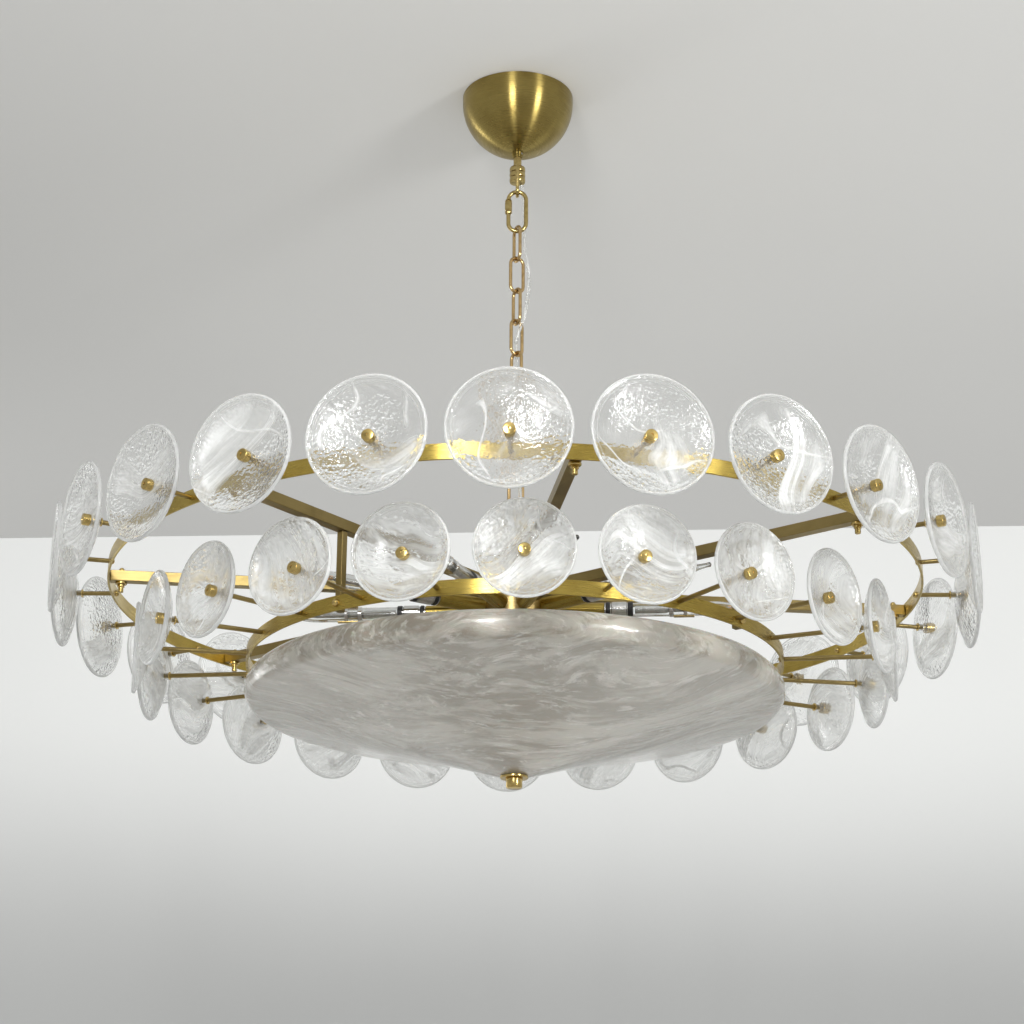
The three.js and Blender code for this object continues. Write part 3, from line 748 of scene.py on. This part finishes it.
def make_quick_link():
    form = Form()
    length = QUICK_HIGH - QUICK_LOW
    stations = oblong(QUICK_LINK_WIDTH - QUICK_LINK_WIRE, length - QUICK_LINK_WIRE, 20)
    half = len(stations) // 2
    sleeve_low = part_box("quick_link_sleeve")[0][2] / MM
    sleeve_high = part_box("quick_link_sleeve")[1][2] / MM
    centre = (QUICK_HIGH + QUICK_LOW) / 2
    gate = (sleeve_low + sleeve_high) / 2 - centre
    left, across = Vector((-1, 0, 0)), Vector((0, 1, 0))
    x = -(QUICK_LINK_WIDTH - QUICK_LINK_WIRE) / 2
    start = [(Vector((x, 0, gate - GATE_HALF)), left, across)]
    end = [(Vector((x, 0, gate + GATE_HALF)), left, across)]
    path = start + stations[half:] + stations[:half] + end
    form.tube(path, QUICK_LINK_WIRE / 2, 24, LINE_BRASS, False, turned(0, centre))
    form.piece("quick_link_wire", "quick_link", "brass", ["quick_link"])

    # The sleeve has cut ends and two raised bands, each with a groove.
    outer, bore = SLEEVE_RADIUS, QUICK_LINK_WIRE / 2 + CLEARANCE / 2
    crest, groove = outer - 0.1, outer - 0.6
    ring = [(bore, sleeve_low), (outer - 0.7, sleeve_low), (outer - 0.5, sleeve_low + 0.8)]
    for level in (0.14, 0.86):
        middle = sleeve_low + (sleeve_high - sleeve_low) * level
        ring += [(crest, middle - 0.9), (groove, middle - 0.5), (groove, middle + 0.5), (crest, middle + 0.9)]
    ring += [(outer - 0.5, sleeve_high - 0.8), (outer - 0.7, sleeve_high), (bore, sleeve_high)]
    about = {"body": "quick_link_sleeve", "nodes": ["quick_link_sleeve"]}
    lathe_piece("quick_link_nut", ring, 32, LINE_BRASS, Matrix.Translation((x, 0, 0)), **about)


def link_yaw(number):
    return FIRST_LINK_YAW if number == 0 else SECOND_LINK_YAW + (number - 1) * LINK_TWIST


def make_chain():
    stations = oblong(LINK_WIDTH - LINK_WIRE, LINK_LENGTH - LINK_WIRE, 16)
    for group, name in enumerate(("chain_upper", "chain_middle", "chain_lower")):
        low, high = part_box(name)[0][2] / MM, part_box(name)[1][2] / MM
        pitch = (high - low - LINK_LENGTH) / (LINKS_PER_NODE - 1)
        for place in range(LINKS_PER_NODE):
            number = group * LINKS_PER_NODE + place
            lay = turned(link_yaw(number), high - place * pitch - LINK_LENGTH / 2)
            link = Form()
            link.tube(stations, LINK_WIRE / 2, 20, CHAIN_BRASS, True, lay)
            link.piece(f"link_{number + 1}", name, "chain_brass", [name])


def smooth_route(points, steps):
    """Points along a curve through all the given ones, steps to each span."""
    ends = [2 * points[0] - points[1]] + points + [2 * points[-1] - points[-2]]
    route = []
    for before, start, end, after in zip(ends, ends[1:], ends[2:], ends[3:]):
        for step in range(steps):
            t = step / steps
            route.append(
                0.5 * (
                    2 * start
                    + (end - before) * t
                    + (2 * before - 5 * start + 4 * end - after) * t * t
                    + (3 * start - before - 3 * end + after) * t * t * t
                )
            )
    return route + [points[-1]]


def make_cord():
    """The cord in five sections. Each crosses one joint, and two neighbours meet in one body."""
    drop = UPPER_COUPLING_LOW - LOWER_COUPLING_HIGH
    points = []
    for x, y, down in CORD_SHARES:
        points.append(Vector((x * LINK_WIDTH, y * LINK_WIDTH, UPPER_COUPLING_LOW - down * drop)))
    route = smooth_route(points, CORD_STEPS)
    stations = []
    side = Vector((1, 0, 0))
    for number, point in enumerate(route):
        ahead = route[min(number + 1, len(route) - 1)] - route[max(number - 1, 0)]
        ahead.normalize()
        side = (side - ahead * side.dot(ahead)).normalized()
        stations.append((point, side, ahead.cross(side)))
    chain = ["ceiling", "quick_link", "chain_upper", "chain_middle", "chain_lower", "fixture"]
    joints = {joint["child"]: joint["pos_m"][2] / MM for joint in frame["joints"] if joint["type"] == "hinge"}
    hinges = [joints[body] for body in chain[1:]]
    cuts = [(a + b) / 2 for a, b in zip(hinges, hinges[1:])]
    first = 0
    for number, (above, below) in enumerate(zip(chain, chain[1:])):
        if number < len(cuts):
            last = min(range(len(route)), key=lambda spot: abs(route[spot].z - cuts[number]))
        else:
            last = len(route) - 1
        section = Form()
        section.tube(stations[first:last + 1], CORD_RADIUS, 14, PLASTIC, False)
        made = section.piece(f"cord_{number + 1}", None, "cord_plastic", ["power_cord"])
        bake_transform(made)
        first = last


# The fixture

def around(first, index, count):
    """The angle of one of count things round the axis. First is its turn from the camera's side."""
    return first - QUARTER + TAU * index / count


def spoke_angle(index):
    return around(FIRST_SPOKE, index, SPOKE_COUNT)


def make_hub():
    collar, collar_top = STEM_RADIUS + 4, HUB_TOP + 4
    drum = [(0, HUB_BOTTOM), (CENTRE_ROD_RADIUS, HUB_BOTTOM)]
    drum += arc(HUB_RADIUS - HUB_EDGE, HUB_BOTTOM + HUB_EDGE, HUB_EDGE, -QUARTER, 0, 6)
    drum += arc(HUB_RADIUS - HUB_EDGE, HUB_TOP - HUB_EDGE, HUB_EDGE, 0, QUARTER, 6)
    drum += [(collar, HUB_TOP), (collar, collar_top), (STEM_RADIUS, collar_top), (0, collar_top)]
    lathe_piece("hub_drum", drum, 96, SHADED_HUB_BRASS, nodes=["hub_frame"])
    rod = bar_profile(CENTRE_ROD_RADIUS, HUB_LOW, HUB_BOTTOM + 1)
    lathe_piece("centre_rod", rod, 24, SHADED_HUB_BRASS)
    profile = coupling_profile(HUB_TOP, LOWER_COUPLING_LOW, 1) + [(0, LOWER_COUPLING_HIGH)]
    lathe_piece("lower_stem", profile, 48, LINE_BRASS)
    loop_yaw = link_yaw(3 * LINKS_PER_NODE - 1) + QUARTER
    make_loop("lower_loop", "fixture", LOWER_LOOP_CENTRE - LOOP_WIRE / 2, -1, loop_yaw)


def add_end_bolt(form, place):
    """The bolt at a spoke's end: a flange and a pin below the spoke, and a nub on top."""
    half = SPOKE_SIZE / 2
    flange, flange_low = 6.5, -half - 3
    pin, collar, pin_low, cut = 3, 4, flange_low - 9, 0.5
    nub, nub_top = 3.4, half + 4.4
    form.lathe(bar_profile(flange, flange_low, -half, 0.6), 28, POLISHED_BRASS, place)
    profile = [(0, pin_low), (pin - cut, pin_low), (pin, pin_low + cut), (pin, flange_low - 3 - cut)]
    profile += [(collar, flange_low - 3), (collar, flange_low), (0, flange_low)]
    form.lathe(profile, 24, POLISHED_BRASS, place)
    profile = [(0, half), (nub, half), (nub, half + 1.6)]
    profile += arc(0, half + 1.4, 3, 0.1, QUARTER, 6)[1:-1] + [(0, nub_top)]
    form.lathe(profile, 24, POLISHED_BRASS, place)


def make_spokes():
    reach = OUTER_RING_RADIUS - BAND_THICKNESS / 2 - CLEARANCE
    bars, bolts = Form(), Form()
    half = SPOKE_SIZE / 2
    for index in range(SPOKE_COUNT):
        place = turned(spoke_angle(index), OUTER_PLANE)
        bars.box((HUB_RADIUS - 2, -half, -half), (reach, half, half), SHADED_BAR_BRASS, place)
        add_end_bolt(bolts, place @ Matrix.Translation((reach - END_BOLT_INSET, 0, 0)))
    bars.piece("spokes", bevel=0.7)
    bolts.piece("spoke_bolts")


# The parts of a lamp: where each starts and ends from the fixture's axis, its radius and its material.
LAMP_PARTS = [
    (36, 100, 9.0, BRASS),
    (100, 102, 8.2, SILVER),
    (102, 106, 9.2, RUBBER),
    (106, 108, 8.0, SILVER),
    (108, 125, 9.4, SILVER),
    (125, 126.5, 8.4, SILVER),
    (126.5, 132, 9.2, RUBBER),
    (172, 177, 8.6, SILVER),
    (188, 192, 8.8, SILVER),
]
LAMP_CLIP = (177, 200)
LAMP_CLIP_OFFSET = 8.4
LAMP_CLIP_HALF = (0.5, 3.2)
LAMP_GLASS_START = 132
LAMP_GLASS_RADIUS = 7.9
LAMP_GLASS_WALL = 1.1
LAMP_FUNNEL = (223, 262)
LAMP_TIP = (2.6, 269)
LAMP_CORE = [(0, 134), (4.6, 134), (4.6, 168), (3.2, 172), (3.2, 224), (2.2, 232), (0, 232)]
# The board at a lamp's far end carries the chips in rows of two on both faces.
BOARD = (226, 252)
BOARD_HALF = (0.6, 3.4)
CHIP_ROWS = 3
CHIP_START = 232
CHIP_PITCH = 7
CHIP_OFFSET = 1.9
CHIP_HALF = (1.3, 2)
CHIP_HEIGHT = 1


def lamp_glass_profile():
    """A lamp's tube: straight, then an S-shaped funnel to a thin tip. Its inside follows its outside."""
    radius, start, end = LAMP_GLASS_RADIUS, *LAMP_FUNNEL
    tip_radius, tip_end = LAMP_TIP
    least = 0.4
    outside = [(radius, LAMP_GLASS_START), (radius, start)]
    steps = 8
    for step in range(1, steps + 1):
        share = step / steps
        swing = 0.5 - 0.5 * math.cos(math.pi * share)
        outside.append((radius + (tip_radius - radius) * swing, start + (end - start) * share))
    outside += [(tip_radius, tip_end - 1), (tip_radius - 1, tip_end)]
    inside = [(max(r - LAMP_GLASS_WALL, least), min(h, tip_end - 2)) for r, h in outside if h <= end]
    return outside + [(least, tip_end)] + list(reversed(inside))


def add_chips(form, place):
    thick, wide = BOARD_HALF
    form.box((-thick, -wide, BOARD[0]), (thick, wide, BOARD[1]), SILVER, place)
    for row in range(CHIP_ROWS):
        centre = CHIP_START + CHIP_PITCH * row
        for column in (-1, 1):
            for face in (-1, 1):
                x = sorted((face * thick, face * (thick + CHIP_HEIGHT)))
                low = (x[0], column * CHIP_OFFSET - CHIP_HALF[0], centre - CHIP_HALF[1])
                high = (x[1], column * CHIP_OFFSET + CHIP_HALF[0], centre + CHIP_HALF[1])
                form.box(low, high, CHIP, place)


def make_lamps():
    top = HUB_BOTTOM - CLEARANCE
    low = top - CARRIER_HEIGHT
    bore = CENTRE_ROD_RADIUS + CLEARANCE
    profile = [(bore, low)] + arc(HUB_RADIUS - HUB_EDGE, low + HUB_EDGE, HUB_EDGE, -QUARTER, 0, 6)
    profile += [(HUB_RADIUS, top), (bore, top)]
    lathe_piece("lamp_carrier", profile, 96, SHADED_HUB_BRASS, nodes=["lamp_cluster"])

    sockets, tubes, chips = Form(), Form(), Form()
    for index in range(LAMP_COUNT):
        lay = outward(around(FIRST_LAMP, index, LAMP_COUNT), LAMP_PLANE)
        for start, end, radius, material in LAMP_PARTS:
            soft = min(0.6, (end - start) / 4)
            sockets.lathe(bar_profile(radius, start, end, soft), 28, material, lay)
        thick, wide = LAMP_CLIP_HALF
        for side in (-1, 1):
            place = lay @ Matrix.Translation((side * LAMP_CLIP_OFFSET, 0, 0))
            low, high = (-thick, -wide, LAMP_CLIP[0]), (thick, wide, LAMP_CLIP[1])
            sockets.box(low, high, POLISHED_BRASS, place)
        tubes.lathe(lamp_glass_profile(), 28, GLASS, lay)
        sockets.lathe(LAMP_CORE, 16, SILVER, lay)
        add_chips(chips, lay)
    sockets.piece("lamp_sockets", slot="lamp_glass")
    tubes.piece("lamp_tubes", slot="lamp_glass")
    chips.piece("lamp_chips", slot="lamp_glass")


def band_profile(radius, plane):
    """A ring's flat upright band, with its edges cut a little."""
    inner, outer = radius - BAND_THICKNESS / 2, radius + BAND_THICKNESS / 2
    low, high = plane - BAND_HEIGHT / 2, plane + BAND_HEIGHT / 2
    cut = 0.35
    profile = [(inner, low + cut), (inner + cut, low), (outer - cut, low), (outer, low + cut)]
    return profile + [(outer, high - cut), (outer - cut, high), (inner + cut, high), (inner, high - cut)]


# Each tier of discs. Back is where the glass starts, and depth is how far its back rises to the rim.
TIERS = {
    "outer": {
        "count": 24,
        "phase": math.radians(-0.8),
        "ring": OUTER_RING_RADIUS,
        "plane": OUTER_PLANE,
        "radius": 60,
        "depth": 14.6,
        "back": OUTER_RING_RADIUS + 42.6 + CLEARANCE,
    },
    "inner": {
        "count": 22,
        "phase": math.radians(1.1),
        "ring": INNER_RING_RADIUS,
        "plane": INNER_PLANE,
        "radius": 50,
        "depth": 15.6,
        "back": INNER_RING_RADIUS + 103.3 + CLEARANCE,
    },
}


def make_ring(name):
    tier = TIERS[name]
    band = band_profile(tier["ring"], tier["plane"])
    lathe_piece(f"{name}_band", band, 256, BRASS, nodes=[f"{name}_ring"])
    rods, washers, caps = Form(), Form(), Form()
    ring_inside = tier["ring"] - BAND_THICKNESS / 2
    back = tier["back"]
    front = back + GLASS_THICKNESS + CLEARANCE
    spacer_end = back - CLEARANCE
    spacer = spacer_end - SPACER_LENGTH
    rod = bar_profile(ROD_RADIUS, ring_inside, front + 4)
    nut = arc(0, ring_inside, NUT_RADIUS, -QUARTER, 0, 8) + [(0, ring_inside)]
    washer = bar_profile(WASHER_RADIUS, spacer - WASHER_THICKNESS, spacer, 0.4, ROD_RADIUS)
    sleeve = bar_profile(SPACER_RADIUS, spacer, spacer_end, 0, ROD_RADIUS)
    # The cap nut: a cut foot, a rounded edge, and a shallow dimple in its end.
    edge, end = 0.8, front + CAP_LENGTH
    cap = [(0, front), (CAP_RADIUS - edge / 2, front), (CAP_RADIUS, front + edge / 2)]
    cap += arc(CAP_RADIUS - edge, end - 0.4 - edge, edge, 0, QUARTER, 4)
    cap += [(CAP_RADIUS * 0.5, end - 0.1), (1.6, end), (1.3, end - 0.9), (0, end - 1.1)]
    for index in range(tier["count"]):
        lay = outward(around(tier["phase"], index, tier["count"]), tier["plane"])
        rods.lathe(rod, 20, SHADED_BAR_BRASS, lay)
        rods.lathe(nut, 24, POLISHED_BRASS, lay)
        washers.lathe(washer, 28, POLISHED_BRASS, lay)
        washers.lathe(sleeve, 24, GLASS, lay)
        caps.lathe(cap, 32, POLISHED_BRASS, lay)
    rods.piece(f"{name}_rods")
    washers.piece(f"{name}_washers")
    caps.piece(f"{name}_caps")


def make_posts():
    """The four posts from every second spoke down to the inner ring, and the nuts outside the ring."""
    posts = Form()
    face = INNER_RING_RADIUS - BAND_THICKNESS / 2
    top = OUTER_PLANE - SPOKE_SIZE / 2 - CLEARANCE
    bottom = INNER_PLANE - BAND_HEIGHT / 2
    half = POST_SIZE / 2
    start = face + BAND_THICKNESS
    nut = [(0, start), (4, start), (4, start + 1)]
    nut += arc(0, start + 1, NUT_RADIUS, 0, QUARTER, 6)[1:-1] + [(0, start + 4.4)]
    for index in range(1, SPOKE_COUNT, 2):
        place = turned(spoke_angle(index))
        posts.box((face - POST_SIZE, -half, bottom), (face, half, top), SHADED_BAR_BRASS, place)
        posts.lathe(nut, 24, POLISHED_BRASS, outward(spoke_angle(index), INNER_PLANE))
    posts.piece("ring_posts", bevel=0.5)


def disc_profile(radius, depth):
    """(radius, height) round a dished disc: back from hole to rim, a rounded bead, and the front."""
    hole = ROD_RADIUS + CLEARANCE
    bead = GLASS_RIM / 2
    thinning = 2.2
    back, front = [], []
    steps = 22
    for step in range(steps + 1):
        share = step / steps
        r = hole + (radius - bead - hole) * share
        rise = depth * (r / radius) ** 2
        thickness = GLASS_THICKNESS - thinning * share ** 2 * (1 - share) * 3
        back.append((r, rise))
        front.append((r, rise + thickness - (GLASS_THICKNESS - GLASS_RIM) * share))
    centre = (radius - bead, (back[-1][1] + front[-1][1]) / 2)
    lean = (front[-1][1] - back[-1][1]) / 2
    rim = []
    rim_steps = 10
    for step in range(1, rim_steps):
        turn = -QUARTER + math.pi * step / rim_steps
        rim.append((centre[0] + bead * math.cos(turn), centre[1] + lean * math.sin(turn)))
    return back + rim + list(reversed(front))


def make_discs():
    """The discs. Each has its own pattern and its own uneven outline and surface."""
    wave_size, wave_height = 22, 0.9
    wobble_size, wobble_share = 40, 0.006
    for name, tier in TIERS.items():
        size = tier["radius"]
        profile = disc_profile(size, tier["depth"])
        for index in range(tier["count"]):
            seed = random.Random(f"{name} disc {index}")
            form = Form()
            form.lathe(profile, 96, SWIRLED[name])
            turn = seed.uniform(0, TAU)
            number = seed.uniform(2, 60)
            layer = form.mesh.verts.layers.float_vector.new("glass_place")
            for vertex in form.mesh.verts:
                x, y, z = vertex.co
                share = math.hypot(x, y) / size
                wave = noise.noise(Vector((x / wave_size, y / wave_size, number))) * wave_height
                uneven = noise.noise(Vector((x / wobble_size, y / wobble_size, number + 9)))
                wobble = 1 - wobble_share + wobble_share * uneven
                vertex[layer] = Vector((
                    (x * math.cos(turn) - y * math.sin(turn)) / size,
                    (x * math.sin(turn) + y * math.cos(turn)) / size,
                    number + z / size * 0.6,
                ))
                lift = wave * min(share, 0.85) * (1 - share) * 1.2
                vertex.co = Vector((x * wobble, y * wobble, z + lift))
            place = outward(around(tier["phase"], index, tier["count"]), tier["plane"])
            place = place @ Matrix.Translation((0, 0, tier["back"]))
            bmesh.ops.transform(form.mesh, matrix=place, verts=form.mesh.verts[:])
            node = f"{name}_disc_{index + 1:02d}"
            form.piece(f"{name}_glass_{index + 1:02d}", slot="disc_glass", nodes=[node], crease=60)


def bowl_curve(inset, steps):
    """The bowl's outside from its foot over the shoulder to its rim, moved inward by inset."""
    centre_radius = BOWL_RADIUS - SHOULDER_RADIUS
    centre_height = BOWL_HIGH - SHOULDER_RADIUS * math.sin(SHOULDER_TOP)
    radius = SHOULDER_RADIUS - inset
    foot = BOWL_LOW + inset
    run, climb = centre_radius - BOWL_FOOT, centre_height - foot
    slope = math.atan2(climb, run) - math.asin(radius / math.hypot(run, climb))
    shoulder = arc(centre_radius, centre_height, radius, slope - QUARTER, SHOULDER_TOP, steps)
    start, end = Vector((BOWL_FOOT, foot)), Vector(shoulder[0])
    cone = [tuple(start.lerp(end, step / 24)) for step in range(24)]
    return [(CENTRE_ROD_RADIUS + CLEARANCE, foot)] + cone + shoulder


def make_bowl():
    form = Form()
    outside = bowl_curve(0, 14)
    inside = list(reversed(bowl_curve(BOWL_WALL, 14)))
    top_out, top_in = Vector(outside[-1]), Vector(inside[0])
    middle = (top_out + top_in) / 2
    half = (top_out - middle).length
    lip = [(middle.x + half * math.cos(a), middle.y + half * 0.5 * math.sin(a)) for a in (0.7, 1.57, 2.44)]
    lip = [(r, min(h, BOWL_HIGH)) for r, h in lip]
    form.lathe(outside + lip + inside, 160, CLOUDY)

    # Outside the foot, the cone swells a little and the surface is uneven.
    wave_size, wave_height, swell_size = 70, 0.9, 130
    flat = 2 * BOWL_FOOT
    for vertex in form.mesh.verts:
        x, y, z = vertex.co
        radius = math.hypot(x, y)
        if radius > flat:
            wave = noise.noise(Vector((x / wave_size, y / wave_size, z / wave_size))) * wave_height
            pull = 1 - (wave_height + wave) / BOWL_RADIUS * min(1, radius / BOWL_RADIUS)
            share = min(1, (radius - flat) / (BOWL_RADIUS - flat))
            swell = BOWL_SWELL * noise.noise(Vector((x / swell_size, y / swell_size, 5)))
            lift = math.sin(math.pi * share) * (BOWL_TIP_LIFT + swell)
            vertex.co = Vector((x * pull, y * pull, z + lift))
    form.piece("glass_bowl", slot="bowl_glass", nodes=["bowl"], crease=50)


def make_finial():
    """A turned knob with a neck, under a washer. Its blind bore takes the centre rod's end."""
    knob, neck = FINIAL_KNOB_RADIUS, FINIAL_KNOB_RADIUS - 0.6
    washer, low, high = FINIAL_WASHER_RADIUS, FINIAL_HIGH - FINIAL_WASHER_THICKNESS, FINIAL_HIGH
    bore, bore_end = CENTRE_ROD_RADIUS + CLEARANCE, HUB_LOW - CLEARANCE
    profile = [(0, FINIAL_LOW), (knob - 2.4, FINIAL_LOW), (knob - 1.2, FINIAL_LOW + 0.5)]
    profile += [(neck, FINIAL_LOW + 1.6), (neck, low - 2.6)]
    profile += [(knob, low - 2.2), (knob, low - 0.7), (knob - 0.5, low)]
    profile += [(washer - 0.6, low), (washer, low + 0.6), (washer, high - 0.5), (washer - 0.5, high)]
    profile += [(bore, high), (bore, bore_end), (0, bore_end)]
    lathe_piece("finial_knob", profile, 64, POLISHED_BRASS, body="finial", nodes=["finial"])


make_cord()
make_hanger()
make_canopy()
make_quick_link()
make_chain()
make_hub()
make_spokes()
make_lamps()
make_ring("outer")
make_ring("inner")
make_posts()
make_discs()
make_bowl()
make_finial()


# Room and light

def room_material(name, tone, glow, grain, painted_shade=None):
    """A matt surface that only shows its inner side.

    Seen straight, mirrored or through glass, it glows a little. The last argument is painted shade: the
    axis along which the paint is darkened to stand for light falling off, where this starts and ends
    in metres, and by how much. Past the end, the paint soon returns to its own tone."""
    nodes = Nodes(name)
    place = nodes.object_place()
    soft = nodes.noise(place, 0.6, 2, 0.5)
    fine = nodes.noise(place, 30, 4, 0.6)
    darker = tuple(channel * 0.93 for channel in tone)
    shade = nodes.mix_colour(nodes.ramp(soft, 0.3, 0.7), tone, darker)
    # Painted shade: the paint is darkened along one axis to stand for light falling off across the wall and
    # ceiling.
    if painted_shade:
        axis, start, end, share = painted_shade
        along = nodes.add("SeparateXYZ", Vector=place).outputs[axis]
        near, far = end - PAINTED_SHADE_RETURN, end - 2 * PAINTED_SHADE_RETURN
        band = nodes.times(nodes.ramp(along, start, end), nodes.ramp(along, far, near))
        amount = nodes.times(band, share)
        shade = nodes.mix_colour(amount, shade, (0, 0, 0))
    paint = nodes.add("BsdfDiffuse", Color=shade, Normal=nodes.bump(fine, 0.0006, grain))
    path = nodes.add("LightPath").outputs
    seen = nodes.math("MAXIMUM", path["Is Camera Ray"], path["Is Glossy Ray"])
    seen = nodes.math("MAXIMUM", seen, path["Is Transmission Ray"])
    light = nodes.add("Emission", Color=shade, Strength=nodes.times(seen, glow))
    wall = nodes.add("AddShader", i0=paint, i1=light)
    clear = nodes.add("BsdfTransparent")
    back = nodes.add("NewGeometry").outputs["Backfacing"]
    return nodes.finish(nodes.add("MixShader", Fac=back, i1=wall, i2=clear))


def room_side(name, corners, material):
    data = bpy.data.meshes.new(name)
    turn = Matrix.Rotation(ROOM_TURN, 4, "Z")
    data.from_pydata([turn @ Vector(corner) * MM for corner in corners], [], [(0, 1, 2, 3)])
    data.materials.append(material)
    made = put_in_scene(name, data)
    made.visible_diffuse = False
    made.visible_shadow = False


def make_room():
    half, back, front, low = ROOM_WIDTH / 2, ROOM_BACK, ROOM_FRONT, FLOOR_HEIGHT
    wall = room_material("wall_paint_and_painted_shade", WALL_COLOUR, WALL_GLOW, 0.2, WALL_PAINTED_SHADE)
    ceiling = room_material("ceiling_paint_and_painted_shade", CEILING_COLOUR, CEILING_GLOW, 0.4, CEILING_PAINTED_SHADE)
    floor = room_material("floor_paint", FLOOR_COLOUR, 0, 0.2)
    top = CEILING_GAP
    flat = ((-half, front), (-half, back), (half, back), (half, front))
    room_side("ceiling", [(x, y, top) for x, y in flat], ceiling)
    upright = ((-half, low), (half, low), (half, top), (-half, top))
    room_side("back_wall", [(x, back, z) for x, z in upright], wall)
    # The floor's corners run the other way round, since its inner side is its top.
    room_side("floor", [(x, y, low) for x, y in (flat[0], flat[3], flat[2], flat[1])], floor)


def make_light():
    for name, (azimuth, height, distance, width, tall, power) in LAMPS.items():
        data = bpy.data.lights.new(name, "AREA")
        data.shape = "RECTANGLE"
        data.size = width * MM
        data.size_y = tall * MM
        data.energy = power
        lamp = put_in_scene(name, data)
        turn = math.radians(azimuth)
        place = Vector((math.sin(turn) * distance, -math.cos(turn) * distance, height)) * MM
        aim = Vector((0, 0, OUTER_PLANE * MM)) - place
        lamp.location = place
        lamp.rotation_euler = aim.to_track_quat("-Z", "Y").to_euler()
        lamp.visible_camera = False

    world = bpy.data.worlds.new("world")
    bpy.context.scene.world = world
    world.use_nodes = True
    tree = world.node_tree
    place = tree.nodes.new("ShaderNodeTexCoord")
    split = tree.nodes.new("ShaderNodeSeparateXYZ")
    spread = tree.nodes.new("ShaderNodeMapRange")
    tree.links.new(place.outputs["Generated"], split.inputs[0])
    tree.links.new(split.outputs[2], spread.inputs["Value"])
    limits = {"From Min": -1, "From Max": 0.3, "To Min": WORLD_LOW, "To Max": WORLD_HIGH}
    for limit, value in limits.items():
        spread.inputs[limit].default_value = value
    background = tree.nodes["Background"]
    tree.links.new(spread.outputs[0], background.inputs["Color"])
    background.inputs["Strength"].default_value = 1


make_room()
make_light()
bpy.context.scene.view_settings.view_transform = "Standard"
